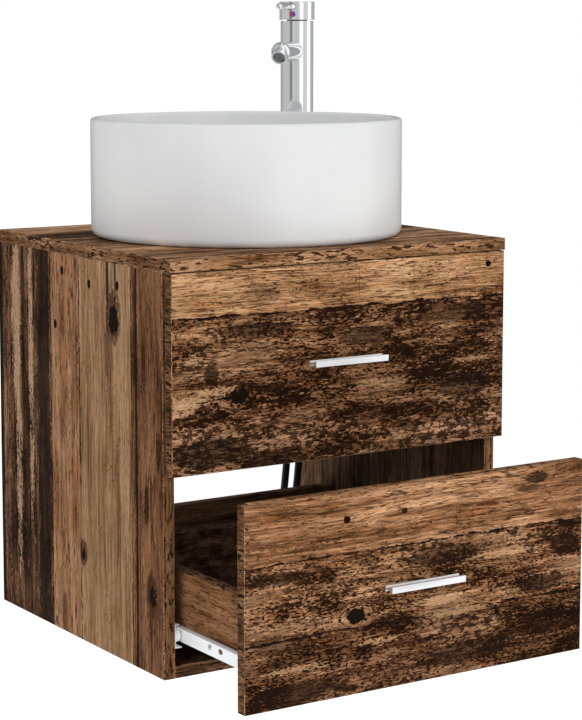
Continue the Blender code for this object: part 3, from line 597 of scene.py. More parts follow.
def indicator():
    """Red for hot and blue for cold, side by side under clear enamel."""
    f = Finish("hot_cold_enamel", Coat_Weight=0.5, Roughness=0.22)
    across = (sin(TO_BASIN), -cos(TO_BASIN), 0.0)
    side = f.add("ShaderNodeVectorMath", {"operation": 'DOT_PRODUCT'}, {0: f.place(), 1: across},
                 out="Value")
    middle = Vector(across).dot(TAP)
    grain = f.noise(f.place(), 900, 2)
    red = f.mix(grain, tone(176, 22, 34), tone(206, 40, 52))
    blue = f.mix(grain, tone(26, 56, 140), tone(44, 78, 172))
    f.set("Base Color", f.mix(f.between(side - middle, -0.00015, 0.00015), blue, red))
    f.bump(grain, 0.00002, 0.3)
    return f.material


# Mesh makers

def body_of(node):
    holder = frame["nodes"][node].parent
    return next(name for name, empty in frame["bodies"].items() if empty == holder)


def piece(name, shape, finishes, body, nodes=(), smooth=None):
    """A finished piece: its mesh, its finishes, the body it rides on and the CAD nodes it stands for."""
    mesh = bpy.data.meshes.new(name)
    shape.to_mesh(mesh)
    shape.free()
    if smooth:
        mesh.shade_smooth()
        mesh.set_sharp_from_angle(angle=radians(smooth))
    for finish in finishes if isinstance(finishes, (list, tuple)) else [finishes]:
        mesh.materials.append(finish)
    made = bpy.data.objects.new(name, mesh)
    bpy.context.collection.objects.link(made)
    return settled(made, body, nodes)


def settled(made, body, nodes=()):
    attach(made, body)
    if nodes:
        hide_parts(*nodes)
    return made


def arc(centre, radius, start, end, count):
    """Points of an arc in a profile, angles in degrees from the first coordinate's direction."""
    turns = [radians(start + (end - start) * step / count) for step in range(count + 1)]
    return [(centre[0] + radius * cos(turn), centre[1] + radius * sin(turn)) for turn in turns]


def lathe(profile, place=Matrix(), steps=96, closed=False):
    """Turn a (radius, height) profile about the local Z of place."""
    shape = bmesh.new()
    rings = []
    for radius, height in profile:
        if radius < 1e-6:
            rings.append([shape.verts.new((0, 0, height))])
        else:
            turns = [2 * pi * step / steps for step in range(steps)]
            rings.append([shape.verts.new((radius * cos(t), radius * sin(t), height)) for t in turns])
    pairs = list(zip(rings, rings[1:])) + ([(rings[-1], rings[0])] if closed else [])
    for first, second in pairs:
        for i in range(steps):
            j = (i + 1) % steps
            corners = [first[i % len(first)], first[j % len(first)], second[j % len(second)],
                       second[i % len(second)]]
            unique = list(dict.fromkeys(corners))
            if len(unique) > 2:
                shape.faces.new(unique)
    return placed(shape, place)


def placed(shape, place):
    bmesh.ops.transform(shape, matrix=place, verts=shape.verts)
    bmesh.ops.recalc_face_normals(shape, faces=shape.faces)
    return shape


def block(low, high, edge=0.0, segments=2):
    shape = bmesh.new()
    bmesh.ops.create_cube(shape, size=1.0)
    low, high = Vector(low), Vector(high)
    bmesh.ops.scale(shape, vec=high - low, verts=shape.verts)
    bmesh.ops.translate(shape, vec=(low + high) / 2, verts=shape.verts)
    if edge:
        rounded(shape, edge, segments, 40)
    return shape


def rounded(shape, width, segments, least):
    """Round every edge that turns by more than least degrees."""
    sharp = [e for e in shape.edges if len(e.link_faces) == 2 and e.calc_face_angle() > radians(least)]
    bmesh.ops.bevel(shape, geom=sharp, offset=width, segments=segments, profile=0.5, affect='EDGES',
                    clamp_overlap=True)
    return shape


def prism(outline, low, high, place):
    """A flat outline in local X and Y, drawn out along local Z."""
    shape = bmesh.new()
    ends = [[shape.verts.new((x, y, z)) for x, y in outline] for z in (low, high)]
    for end in ends:
        shape.faces.new(end)
    for i in range(len(outline)):
        j = (i + 1) % len(outline)
        shape.faces.new((ends[0][i], ends[0][j], ends[1][j], ends[1][i]))
    return placed(shape, place)


def cut(shape, tool, operation='DIFFERENCE'):
    """Cut one shape with another, or join them into one closed shape."""
    objects = []
    for part in (shape, tool):
        mesh = bpy.data.meshes.new("blank")
        part.to_mesh(mesh)
        part.free()
        objects.append(bpy.data.objects.new("blank", mesh))
        bpy.context.collection.objects.link(objects[-1])
    step = objects[0].modifiers.new("cut", 'BOOLEAN')
    step.operation, step.solver, step.object = operation, 'EXACT', objects[1]
    seen = objects[0].evaluated_get(bpy.context.evaluated_depsgraph_get())
    result = bmesh.new()
    result.from_mesh(bpy.data.meshes.new_from_object(seen))
    for part in objects:
        bpy.data.objects.remove(part, do_unlink=True)
    bmesh.ops.remove_doubles(result, verts=result.verts, dist=0.000002)
    return result


def joined(*shapes):
    """Several closed shapes as one mesh."""
    first = shapes[0]
    for other in shapes[1:]:
        mesh = bpy.data.meshes.new("blank")
        other.to_mesh(mesh)
        other.free()
        first.from_mesh(mesh)
    return first


def pin(radius, low, high, place, steps=24, edge=0.0003):
    """A round pin with chamfered ends along the local Z of place."""
    return lathe([(0, low), (radius - edge, low), (radius, low + edge), (radius, high - edge),
                  (radius - edge, high), (0, high)], place, steps)


def tube(outer, inner, low, high, place, steps=64, edge=0.0003):
    return lathe([(outer, low + edge), (outer, high - edge), (outer - edge, high), (inner + edge, high),
                  (inner, high - edge), (inner, low + edge), (inner + edge, low), (outer - edge, low)],
                 place, steps, closed=True)


def across_x(x, y, z):
    """A place whose local Z runs along X."""
    return Matrix.Translation((x, y, z)) @ Matrix.Rotation(pi / 2, 4, 'Y')


def along_y(x, y, z):
    """A place whose local Z runs towards the wall."""
    return Matrix.Translation((x, y, z)) @ Matrix.Rotation(-pi / 2, 4, 'X')


def hexagon(across_flats, low, high, bore, place, sides=6):
    """A nut with chamfered corners and a round bore."""
    corner = across_flats / 2 / cos(pi / sides)
    outline = [(corner * cos(2 * pi * i / sides), corner * sin(2 * pi * i / sides)) for i in range(sides)]
    shape = prism(outline, low, high, Matrix())
    slope = (corner - across_flats / 2) * 0.6
    envelope = lathe([(0, low), (corner - slope * 1.6, low), (corner, low + slope), (corner, high - slope),
                      (corner - slope * 1.6, high), (0, high)], steps=96)
    shape = cut(shape, envelope, 'INTERSECT')
    shape = cut(shape, pin(bore, low - 0.002, high + 0.002, Matrix(), 64))
    return placed(shape, place)


# Geometry Nodes rigs

class Rig(Tree):
    """A Geometry Nodes tree with named inputs: numbers, and the finish of what it makes."""

    def __init__(self, name, **sizes):
        super().__init__(bpy.data.node_groups.new(name, 'GeometryNodeTree'))
        face = self.nodes.interface
        face.new_socket("Geometry", in_out='INPUT', socket_type='NodeSocketGeometry')
        self.keys = {}
        for size, value in sizes.items():
            kind = 'NodeSocketInt' if isinstance(value, int) else 'NodeSocketFloat'
            self.keys[size] = face.new_socket(size, in_out='INPUT', socket_type=kind)
            self.keys[size].default_value = value
        self.keys["Finish"] = face.new_socket("Finish", in_out='INPUT', socket_type='NodeSocketMaterial')
        face.new_socket("Geometry", in_out='OUTPUT', socket_type='NodeSocketGeometry')
        self.given = self.nodes.nodes.new("NodeGroupInput")

    def input(self, name):
        return Link(self, self.given.outputs[name])

    def close(self, geometry):
        """End in real geometry with its finish on it."""
        real = self.add("GeometryNodeRealizeInstances", values={0: geometry})
        smooth = self.add("GeometryNodeSetShadeSmooth", values={0: real, 2: False})
        final = self.add("GeometryNodeSetMaterial", values={0: smooth, "Material": self.input("Finish")})
        self.feed(self.nodes.nodes.new("NodeGroupOutput").inputs[0], final)

    def make(self, name, points, finish, place=Matrix(), **sizes):
        """Run the tree on some points, each (place, facing), and give back a plain shape."""
        mesh = bpy.data.meshes.new(name)
        mesh.from_pydata([point for point, facing in points], [], [])
        facings = mesh.attributes.new("facing", 'FLOAT_VECTOR', 'POINT')
        for item, (point, facing) in zip(facings.data, points):
            item.vector = facing
        made = bpy.data.objects.new(name, mesh)
        bpy.context.collection.objects.link(made)
        step = made.modifiers.new("rig", 'NODES')
        step.node_group = self.nodes
        for size, value in sizes.items():
            step[self.keys[size].identifier] = value
        step[self.keys["Finish"].identifier] = finish
        seen = made.evaluated_get(bpy.context.evaluated_depsgraph_get())
        shape = bmesh.new()
        shape.from_mesh(bpy.data.meshes.new_from_object(seen))
        bpy.data.objects.remove(made, do_unlink=True)
        bmesh.ops.remove_doubles(shape, verts=shape.verts, dist=0.000005)
        return placed(shape, place)


def screw_rig():
    """Pan heads with a cross recess, one at each point, facing out."""
    rig = Rig("pan_head_screws", Radius=0.0036, Height=0.0018)
    radius, height = rig.input("Radius"), rig.input("Height")
    disc = rig.add("GeometryNodeMeshCircle", {"fill_type": 'NGON'}, {"Vertices": 24, "Radius": radius})
    solid = disc
    for rise, narrow in ((0.45, 0.97), (0.30, 0.90), (0.25, 0.72)):
        step = rig.add("GeometryNodeExtrudeMesh", values={0: solid, "Offset Scale": height * rise,
                                                          "Individual": False})
        top = Link(rig, step.socket.node.outputs["Top"])
        if solid is not disc:
            rig.feed(step.socket.node.inputs["Selection"], last)
        solid = rig.add("GeometryNodeScaleElements", values={0: step, "Selection": top, "Scale": narrow})
        last = top
    base = rig.add("GeometryNodeFlipFaces", values={0: disc})
    head = rig.add("GeometryNodeMergeByDistance", values={0: solid, "Distance": 0.00002})
    recess = rig.add("GeometryNodeJoinGeometry")
    for wide, long in ((0.26, 1.05), (1.05, 0.26)):
        size = rig.add("ShaderNodeCombineXYZ", values={0: radius * wide, 1: radius * long, 2: height})
        arm = rig.add("GeometryNodeMeshCube", values={"Size": size})
        lift = rig.add("ShaderNodeCombineXYZ", values={2: height * 1.05})
        arm = rig.add("GeometryNodeTransform", values={0: arm, "Translation": lift})
        rig.feed(recess.socket.node.inputs[0], arm)
    closed = rig.add("GeometryNodeJoinGeometry")
    for part in (head, base):
        rig.feed(closed.socket.node.inputs[0], part)
    closed = rig.add("GeometryNodeMergeByDistance", values={0: closed, "Distance": 0.00001})
    head = rig.add("GeometryNodeMeshBoolean", {"operation": 'DIFFERENCE', "solver": 'EXACT'},
                   {"Mesh 1": closed, "Mesh 2": recess, "Self Intersection": True})
    facing = rig.add("GeometryNodeInputNamedAttribute", {"data_type": 'FLOAT_VECTOR'}, {"Name": "facing"})
    turn = rig.add("FunctionNodeAlignRotationToVector", {"axis": 'Z'}, {"Vector": facing})
    rig.close(rig.add("GeometryNodeInstanceOnPoints", values={"Points": rig.input("Geometry"),
                                                              "Instance": head, "Rotation": turn}))
    return rig


def thread_rig():
    """A screw thread's ridge, wound round the Z axis."""
    rig = Rig("thread_ridge", Radius=0.0166, Length=0.02, Pitch=0.0015, Ridge=0.0005)
    turns = rig.input("Length") / rig.input("Pitch")
    line = rig.add("GeometryNodeCurveSpiral", values={
        "Resolution": 40, "Rotations": turns, "Start Radius": rig.input("Radius"),
        "End Radius": rig.input("Radius"), "Height": rig.input("Length")})
    circle = "GeometryNodeCurvePrimitiveCircle"
    ridge = rig.add(circle, values={"Resolution": 4, "Radius": rig.input("Ridge")})
    rig.close(rig.add("GeometryNodeCurveToMesh", values={0: line, 1: ridge, "Fill Caps": True}))
    return rig


def wire_rig():
    """Square wire mesh, trimmed to a disc."""
    rig = Rig("wire_mesh", Radius=0.0082, Wires=15, Wire=0.00022)
    radius = rig.input("Radius")
    grid = rig.add("GeometryNodeMeshGrid", values={"Size X": radius * 2, "Size Y": radius * 2,
                                                   "Vertices X": rig.input("Wires"),
                                                   "Vertices Y": rig.input("Wires")})
    place = rig.add("GeometryNodeInputPosition")
    far = rig.add("ShaderNodeVectorMath", {"operation": 'LENGTH'}, {0: place}, out="Value")
    outside = rig.add("FunctionNodeCompare", {"operation": 'GREATER_THAN'}, {0: far, 1: radius})
    disc = rig.add("GeometryNodeDeleteGeometry", values={0: grid, "Selection": outside})
    lines = rig.add("GeometryNodeMeshToCurve", values={0: disc})
    wire = rig.add("GeometryNodeCurvePrimitiveCircle", values={"Resolution": 6, "Radius": rig.input("Wire")})
    rig.close(rig.add("GeometryNodeCurveToMesh", values={0: lines, 1: wire, "Fill Caps": True}))
    return rig


def rib_rig():
    """Rounded ribs round the Z axis, evenly spaced along it."""
    rig = Rig("crimp_ribs", Radius=0.0066, Rib=0.0005, Ribs=6, Spacing=0.0022)
    circle = "GeometryNodeCurvePrimitiveCircle"
    ring = rig.add(circle, values={"Resolution": 40, "Radius": rig.input("Radius")})
    round_bar = rig.add(circle, values={"Resolution": 8, "Radius": rig.input("Rib")})
    rib = rig.add("GeometryNodeCurveToMesh", values={0: ring, 1: round_bar})
    step = rig.add("ShaderNodeCombineXYZ", values={2: rig.input("Spacing")})
    row = rig.add("GeometryNodeMeshLine", values={"Count": rig.input("Ribs"), "Offset": step})
    rig.close(rig.add("GeometryNodeInstanceOnPoints", values={"Points": row, "Instance": rib}))
    return rig


# Boards

def board(node, faces, edge=0.0007, holes=()):
    """A board with rounded arrises. faces gives the finish of each side, "rest" the others."""
    low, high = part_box(node)
    shape = block(low, high, edge, 3)
    for place, radius in holes:
        shape = cut(shape, pin(radius, -0.05, 0.05, place, 48))
    finishes = list(dict.fromkeys(faces.values()))
    for face in shape.faces:
        normal = face.normal
        axis = max(range(3), key=lambda i: abs(normal[i]))
        side = "-+"[normal[axis] > 0] + "xyz"[axis]
        key = side if abs(normal[axis]) > 0.999 else "arris"
        face.material_index = finishes.index(faces.get(key, faces["rest"]))
    return piece(node + "_board", shape, finishes, body_of(node), [node])


def edge_finishes():
    """Edge banding for upright and level edges, and its lighter arris: wear, and a painted highlight along
    the rounded edge.
    """
    dark, mid, light = tone(70, 43, 22), tone(106, 74, 47), tone(140, 103, 73)
    upright = edge_band("upright_edge_band", 71.0, dark, mid, light, "z", "x")
    level = edge_band("level_edge_band", 73.0, tone(84, 54, 29), tone(138, 100, 68), tone(172, 133, 99),
                      "x", "z")
    across = edge_band("side_edge_band", 77.0, tone(70, 44, 24), tone(108, 77, 51), tone(146, 112, 82),
                       "y", "z")
    dim = edge_band("dim_edge_band", 81.0, tone(52, 33, 18), tone(92, 64, 43), tone(128, 95, 68), "x", "z")
    # The rounded arrises get a lighter band: partly wear, partly a painted highlight where the edge catches
    # the light.
    lit_worn_arris = edge_band("worn_arris", 79.0, tone(90, 62, 40), tone(138, 104, 76), tone(172, 138, 108), "x", "z")
    return upright, level, across, dim, lit_worn_arris


def cabinet_boards(finishes):
    upright, level, across, dim, lit_worn_arris = finishes["edges"]
    inner, dark = finishes["inner"], finishes["dark"]
    for side, name, outer in (("left", "-x", 3.0), ("right", "+x", 5.0)):
        faces = {"rest": inner, name: side_planks(f"side_{side}_decor", outer), "-y": upright,
                 "arris": lit_worn_arris, "-z": upright}
        board("side_panel_" + side, faces)
    board("bottom_panel", {"rest": inner, "-y": dim, "-z": finishes["box_out"], "arris": lit_worn_arris})
    holes = [(Matrix.Translation((BASIN.x, BASIN.y, COUNTER_UNDER)), 0.023),
             (Matrix.Translation((TAP.x, TAP.y, COUNTER_UNDER)), 0.0175)]
    faces = {"rest": finishes["box_out"], "+z": counter_planks(), "-y": level, "-x": across, "+x": across,
             "arris": lit_worn_arris}
    board("countertop", faces, holes=holes)
    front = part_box("hanging_rail")[0].y
    bores = [(along_y(side * WALL_SCREW_X, front, 0), SCREW_RADIUS) for side in (-1, 1)]
    board("hanging_rail", {"rest": dark}, holes=bores)
    board("lower_rail", {"rest": dark})


def drawer_boards(finishes):
    _, level, _, dim, lit_worn_arris = finishes["edges"]
    for drawer, decor in (("lower_drawer", lower_front_planks()), ("upper_drawer", upper_front_planks())):
        faces = {"rest": decor, "+y": finishes["front_back"], "+z": level, "-z": level, "-x": dim,
                 "+x": dim, "arris": lit_worn_arris}
        board(drawer + "_front", faces)
        for side, out in (("left", "-x"), ("right", "+x")):
            board(f"{drawer}_side_{side}", {"rest": finishes["box_in"], out: finishes["box_out"],
                                            "+z": finishes["box_top"], "arris": finishes["box_top"]})
    backs = ["lower_drawer_back", "upper_drawer_back_left", "upper_drawer_back_right",
             "upper_drawer_recess_front", "upper_drawer_recess_left", "upper_drawer_recess_right"]
    for node in backs:
        board(node, {"rest": finishes["box_in"], "+z": finishes["box_top"], "arris": finishes["box_top"]})
    board("lower_drawer_base", {"rest": finishes["hardboard"]}, 0.0003)
    recess_base(finishes["hardboard"])


def recess_base(finish):
    """The upper drawer's base, cut back round the plumbing recess."""
    low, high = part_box("upper_drawer_base")
    walls = [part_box("upper_drawer_recess_" + word) for word in ("left", "right", "front")]
    near, far = walls[0][0].x - GAP, walls[1][1].x + GAP
    end = walls[2][0].y - GAP
    outline = [(low.x, low.y), (high.x, low.y), (high.x, high.y), (far, high.y), (far, end), (near, end),
               (near, high.y), (low.x, high.y)]
    shape = rounded(prism(outline, low.z, high.z, Matrix()), 0.0003, 2, 40)
    piece("upper_drawer_base_board", shape, finish, "upper_drawer", ["upper_drawer_base"])


# Wall brackets

WALL_SCREW_X = 0.206
SCREW_RADIUS = 0.0040
BRACKET_THICK = 0.002
BRACKET_SCREW_Z = 0.018


def bracket(side, word, finish, screws):
    """A pressed angle plate with rounded corners, screwed to the panel and the rail."""
    node = "wall_bracket_" + word
    low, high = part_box(node)
    thick = BRACKET_THICK
    corner = high.x if side > 0 else low.x
    back, front = high.y, low.y
    inner = corner - side * thick
    end = low.x if side > 0 else high.x
    outline = [(corner, back), (corner, front), (inner, front), (inner, back - thick - 0.002)]
    outline += [(inner - side * 0.0006, back - thick - 0.0006), (inner - side * 0.002, back - thick),
                (end, back - thick), (end, back)]
    shape = rounded(prism(outline, low.z, high.z, Matrix()), 0.0004, 2, 40)
    shape = cut(shape, pin(SCREW_RADIUS, -0.01, 0.01, along_y(side * WALL_SCREW_X, back - thick / 2, 0), 40))
    piece(node + "_plate", shape, finish, "cabinet", [node])
    for z in (-BRACKET_SCREW_Z, BRACKET_SCREW_Z):
        screws.append(((inner, (front + back) / 2 - 0.006, z), (-side, 0, 0)))
        screws.append(((side * (WALL_SCREW_X - 0.011), back - thick, z), (0, -1, 0)))


# Runners

RUNNER_LENGTH = 0.350
STEEL = 0.0012
INNER_HALF = 0.230
RUNNER_ROOM = 0.0127
ROLLER_RADIUS = 0.0095
ROLLER_WIDTH = 0.0070
ROLLER_INSET = 0.0032
AXLE_INSET = 0.012
AXLE_RADIUS = 0.0025
CHANNEL_LOW, CHANNEL_HIGH, CHANNEL_DEPTH = -0.0075, 0.0215, 0.0098
RAIL_FOOT, RAIL_TOP = 0.0010, 0.0178


def section(side, points):
    placed_points = [(side * (INNER_HALF - inward), height) for inward, height in points]
    return placed_points if side > 0 else placed_points[::-1]


def standing(y, base):
    """A place whose local X is world X, local Y is up and local Z points to the front."""
    return Matrix.Translation((0, y, base)) @ Matrix.Rotation(pi / 2, 4, 'X')


def oval(half_length, radius, y, z, x):
    """A cutter for a rounded slot along Y, drawn along X."""
    ends = [(half_length + radius * cos(t), radius * sin(t)) for t in
            (radians(-90 + 180 * i / 12) for i in range(13))]
    ends += [(-a, -b) for a, b in ends]
    place = Matrix.Translation((x, y, z)) @ Matrix(((0, 0, 1), (1, 0, 0), (0, 1, 0))).to_4x4()
    return prism(ends, -0.004, 0.004, place)


def pinned(shape, side, inward_from, inward_to, y, z):
    """Join an axle along X."""
    low, high = sorted((side * (INNER_HALF - inward_from), side * (INNER_HALF - inward_to)))
    return cut(shape, pin(AXLE_RADIUS, low, high, across_x(0, y, z), 32, 0.0002), 'UNION')


# Holes, slots and screws: shares of the runner's length, or metres from its front end
CHANNEL_MIDDLE = 0.0068
CHANNEL_HOLES = (0.10, 0.34, 0.52, 0.80, 0.93)
CHANNEL_SCREWS = (0.22, 0.66)
RAIL_MIDDLE = 0.0080
RAIL_SLOTS = ((0.0036, 0.0030, 0.196), (0.0016, 0.0032, 0.077))
RAIL_NOTCH = ((-0.0060, 0.0040), (0.0060, 0.0045), (0.0045, -0.0060))
NOTCH_REACH, NOTCH_MIDDLE = 0.014, 0.0070


def channel(drawer, word, side, base, finish, screws):
    """The cabinet's half of a runner: a C section with screw slots."""
    node = f"{drawer}_channel_{word}"
    low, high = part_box(node)
    near, far = 0.0004, CHANNEL_DEPTH
    inside, lip = near + STEEL, far - 0.003
    points = [(near, CHANNEL_LOW), (far, CHANNEL_LOW), (far, CHANNEL_LOW + STEEL)]
    points += [(inside + 0.0008, CHANNEL_LOW + STEEL), (inside, CHANNEL_LOW + STEEL + 0.0008)]
    points += [(inside, CHANNEL_HIGH - STEEL - 0.0008), (inside + 0.0008, CHANNEL_HIGH - STEEL)]
    points += [(lip, CHANNEL_HIGH - STEEL), (lip, CHANNEL_HIGH), (near, CHANNEL_HIGH)]
    half = RUNNER_LENGTH / 2
    shape = prism(section(side, points), -half, half, standing((low.y + high.y) / 2, base))
    shape = rounded(shape, 0.00025, 2, 60)
    x = side * (INNER_HALF - near)
    middle = CHANNEL_MIDDLE
    for share in CHANNEL_HOLES:
        shape = cut(shape, oval(0.0022, 0.0022, low.y + RUNNER_LENGTH * share, base + middle, x))
    y = low.y + AXLE_INSET
    shape = pinned(shape, side, near + STEEL / 2, far + 0.0004, y, base + middle)
    piece(node + "_section", shape, finish, "cabinet", [node], 30)
    for share in CHANNEL_SCREWS:
        y = low.y + RUNNER_LENGTH * share
        screws.append(((side * (INNER_HALF - inside), y, base + middle), (-side, 0, 0)))


def rail(drawer, word, side, base, finish, screws):
    """The drawer's half: wrapped under the box side, with slots, a notch and screws."""
    node = f"{drawer}_rail_{word}"
    low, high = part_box(node)
    web, foot, edge = RUNNER_ROOM - GAP, RUNNER_ROOM + 0.0125, ROLLER_INSET + 0.0008
    under = -RAIL_FOOT - STEEL
    points = [(foot, under), (foot, -RAIL_FOOT), (web, -RAIL_FOOT), (web, RAIL_TOP), (edge, RAIL_TOP)]
    points += [(edge, RAIL_TOP - STEEL), (web - STEEL - 0.0008, RAIL_TOP - STEEL),
               (web - STEEL, RAIL_TOP - STEEL - 0.0008), (web - STEEL, under + 0.0006),
               (web - STEEL + 0.0006, under)]
    half = RUNNER_LENGTH / 2
    front = low.y
    shape = prism(section(side, points), -half, half, standing((low.y + high.y) / 2, base))
    shape = rounded(shape, 0.00025, 2, 60)
    x = side * (INNER_HALF - web + STEEL / 2)
    for along, up, reach in RAIL_SLOTS:
        shape = cut(shape, oval(along, up, front + reach, base + RAIL_MIDDLE, x))
    upright = Matrix(((0, 0, 1), (1, 0, 0), (0, 1, 0))).to_4x4()
    place = Matrix.Translation((x, front + NOTCH_REACH, base + NOTCH_MIDDLE)) @ upright
    shape = cut(shape, prism(RAIL_NOTCH, -0.003, 0.003, place))
    y = high.y - AXLE_INSET
    shape = pinned(shape, side, web - STEEL / 2, ROLLER_INSET - 0.0004, y, base + REAR_ROLLER)
    piece(node + "_section", shape, finish, body_of(node), [node], 30)
    for reach in (0.100, 0.290):
        screws.append(((side * (INNER_HALF - web + STEEL), front + reach, base + RAIL_MIDDLE),
                       (side, 0, 0)))


REAR_ROLLER = CHANNEL_LOW + STEEL + GAP + ROLLER_RADIUS


def roller(node, finish):
    """A nylon wheel: a soft-edged tread, a dished web with spokes and a hub."""
    low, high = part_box(node)
    middle = (low + high) / 2
    half, bore, rim, hub = ROLLER_WIDTH / 2, AXLE_RADIUS + GAP, ROLLER_RADIUS - 0.0016, 0.0046
    radius, soft, dish = ROLLER_RADIUS, 0.0007, 0.0012
    profile = arc((radius - soft, half - soft), soft, 90, 0, 4) + arc((radius - soft, soft - half), soft, 0,
                                                                        -90, 4)
    profile += [(rim, -half), (rim - 0.0002, -half + dish), (hub + 0.0002, -half + dish), (hub, -half),
                (bore, -half), (bore, half), (hub, half), (hub + 0.0002, half - dish),
                (rim - 0.0002, half - dish), (rim, half)]
    place = across_x(*middle)
    shape = lathe(profile, place, 64, closed=True)
    for count in range(6):
        turn = Matrix.Rotation(2 * pi * count / 6, 4, 'Z')
        spoke = block((hub - 0.0003, -0.0005, -half + 0.0003), (rim + 0.0003, 0.0005, half - 0.0003))
        shape = cut(shape, placed(spoke, place @ turn), 'UNION')
    piece(node + "_wheel", shape, finish, body_of(node), [node], 30)


def runners(finishes, cabinet_screws, drawer_screws):
    for drawer in ("lower_drawer", "upper_drawer"):
        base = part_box(drawer + "_side_left")[0].z
        for word, side in (("left", -1), ("right", 1)):
            channel(drawer, word, side, base, finishes["coat"], cabinet_screws)
            rail(drawer, word, side, base, finishes["coat"], drawer_screws[drawer])
            for end in ("front", "rear"):
                roller(f"{drawer}_{end}_roller_{word}", finishes["nylon"])


# Handles

def handle(drawer, finish):
    """An extruded bar: a foot on the front, a thin web with full fillets and a taller lip."""
    node = drawer + "_handle"
    low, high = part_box(node)
    reach, lip, foot, web, fillet = high.y - low.y, (high.z - low.z) / 2, 0.0032, 0.0015, 0.0012
    foot_depth, lip_depth, round_off = 0.0020, 0.0024, 0.0007
    upper = [(0.0, foot), (foot_depth, foot)]
    upper += arc((foot_depth + fillet, web + fillet), fillet, 180, 270, 8)
    upper += arc((reach - lip_depth - fillet, web + fillet), fillet, 270, 360, 8)
    upper += arc((reach - lip_depth + 0.0003, lip - 0.0003), 0.0003, 180, 90, 3)
    upper += arc((reach - round_off, lip - round_off), round_off, 90, 0, 6)
    outline = upper + [(y, -z) for y, z in reversed(upper)]
    turn = Matrix(((0, 0, -1), (-1, 0, 0), (0, 1, 0))).to_4x4()
    place = Matrix.Translation(((low.x + high.x) / 2, high.y, (low.z + high.z) / 2)) @ turn
    half = (high.x - low.x) / 2
    shape = rounded(prism(outline, -half, half, place), 0.00025, 2, 60)
    piece(node + "_bar", shape, finish, drawer, [node], 32)


# Basin and waste, with heights above the countertop

BASIN_RADIUS, BASIN_HEIGHT, BASIN_FLOOR = 0.200, 0.150, 0.016
DRAIN_RADIUS, SEAT_RADIUS, SEAT_DEPTH = 0.023, 0.0335, 0.0030
BOARD = COUNTER_TOP - COUNTER_UNDER


# The foot ring under the basin, and the round between its floor and its wall
FOOT = [(0.176, 0.0), (0.1745, 0.0008), (0.174, 0.004), (0.046, 0.004), (0.0445, 0.0008), (0.044, 0.0)]
BOWL_CENTRE, BOWL_ROUND = (0.128, 0.078), 0.057
WALL_RADIUS, WALL_LEVEL, WALL_LEAN, WALL_STEP = 0.1868, 0.084, 0.0003, 0.012


def basin(finish):
    rim, wall, lower_edge = 0.0045, 0.009, 0.010
    seat = BASIN_FLOOR - SEAT_DEPTH
    top = BASIN_HEIGHT - rim
    profile = arc((BASIN_RADIUS - rim, top), rim, 90, 0, 12)
    profile += arc((BASIN_RADIUS - lower_edge, lower_edge), lower_edge, 0, -90, 12)
    profile += FOOT
    profile += [(DRAIN_RADIUS, 0.0), (DRAIN_RADIUS, seat), (SEAT_RADIUS - 0.0004, seat),
                (SEAT_RADIUS, seat + 0.0004),
                (SEAT_RADIUS, BASIN_FLOOR - 0.0006), (SEAT_RADIUS + 0.0006, BASIN_FLOOR)]
    profile += arc(BOWL_CENTRE, BOWL_ROUND, -90, -3, 40)
    profile += [(WALL_RADIUS + WALL_LEAN * i, WALL_LEVEL + WALL_STEP * i) for i in range(1, 5)]
    profile += arc((BASIN_RADIUS - wall + rim, top), rim, 180, 104, 10)
    place = BASIN_PLACE @ Matrix.Translation((0, 0, GAP))
    piece("basin_ware", lathe(profile, place, 192, closed=True), finish, "cabinet",
          ["basin"], 50)


def waste(finishes, thread):
    """Push-open waste: its flanged body, the seal and nut under the countertop, and its plug."""
    place = BASIN_PLACE @ Matrix.Translation((0, 0, GAP))
    seat = BASIN_FLOOR - SEAT_DEPTH + GAP
    flange, tube_radius, end, wall = 0.0325, 0.0195, 0.0160, 0.0022
    under = -BOARD - GAP
    shoulder, tail = under - 0.030, under - 0.058
    profile = arc((flange - 0.0008, seat + 0.0012), 0.0008, 90, 0, 5)
    profile += [(flange, seat), (tube_radius - 0.0004, seat), (tube_radius - 0.0004, shoulder),
                (end, shoulder - 0.004), (end, tail + 0.0005), (end - 0.0005, tail), (end - wall, tail),
                (end - wall, shoulder - 0.004), (tube_radius - wall, shoulder + GAP),
                (tube_radius - wall, seat - 0.004), (0.0250, seat + 0.0020)]
    piece("waste_tube", lathe(profile, place, 96, closed=True), finishes["chrome"], "cabinet",
          ["waste_body"], 32)
    ridge = thread.make("waste_thread", [((0, 0, 0), (0, 0, 1))], finishes["chrome"],
                        place @ Matrix.Translation((0, 0, shoulder + 0.001)), Radius=tube_radius - 0.0004,
                        Length=0.0135, Pitch=0.0018, Ridge=0.0004)
    piece("waste_thread_ridge", ridge, finishes["chrome"], "cabinet", smooth=40)
    seal = tube(SEAT_RADIUS, tube_radius + GAP, under - GAP - 0.0027, under - GAP, place, 96, 0.0006)
    piece("waste_seal_ring", seal, finishes["rubber"], "cabinet", ["waste_seal"], 32)
    high = under - 2 * GAP - 0.0027
    nut = hexagon(0.066, high - 0.0112, high, tube_radius + GAP, place, 8)
    piece("waste_nut_ring", nut, finishes["brass"], "cabinet", ["waste_nut"], 30)
    base = BASIN_FLOOR - SEAT_DEPTH + 0.0036
    edge = 0.0009
    dome = [(0.030 * sin(radians(a)) * 0.985, base + 0.0006 + 0.0040 * cos(radians(a))) for a in
            range(0, 82, 4)]
    profile = dome + arc((0.030 - edge, base + edge), edge, 70, -90, 8)
    profile += [(0.0125, base), (0.0115, base - 0.016), (0.0040, base - 0.018), (0.0040, base - 0.0398),
                (0.0038, base - 0.040), (0.0, base - 0.040)]
    piece("waste_plug_cap", lathe(profile, place, 96), finishes["chrome"], "waste_plug",
          ["waste_plug"], 32)


# Tap, with heights above the countertop

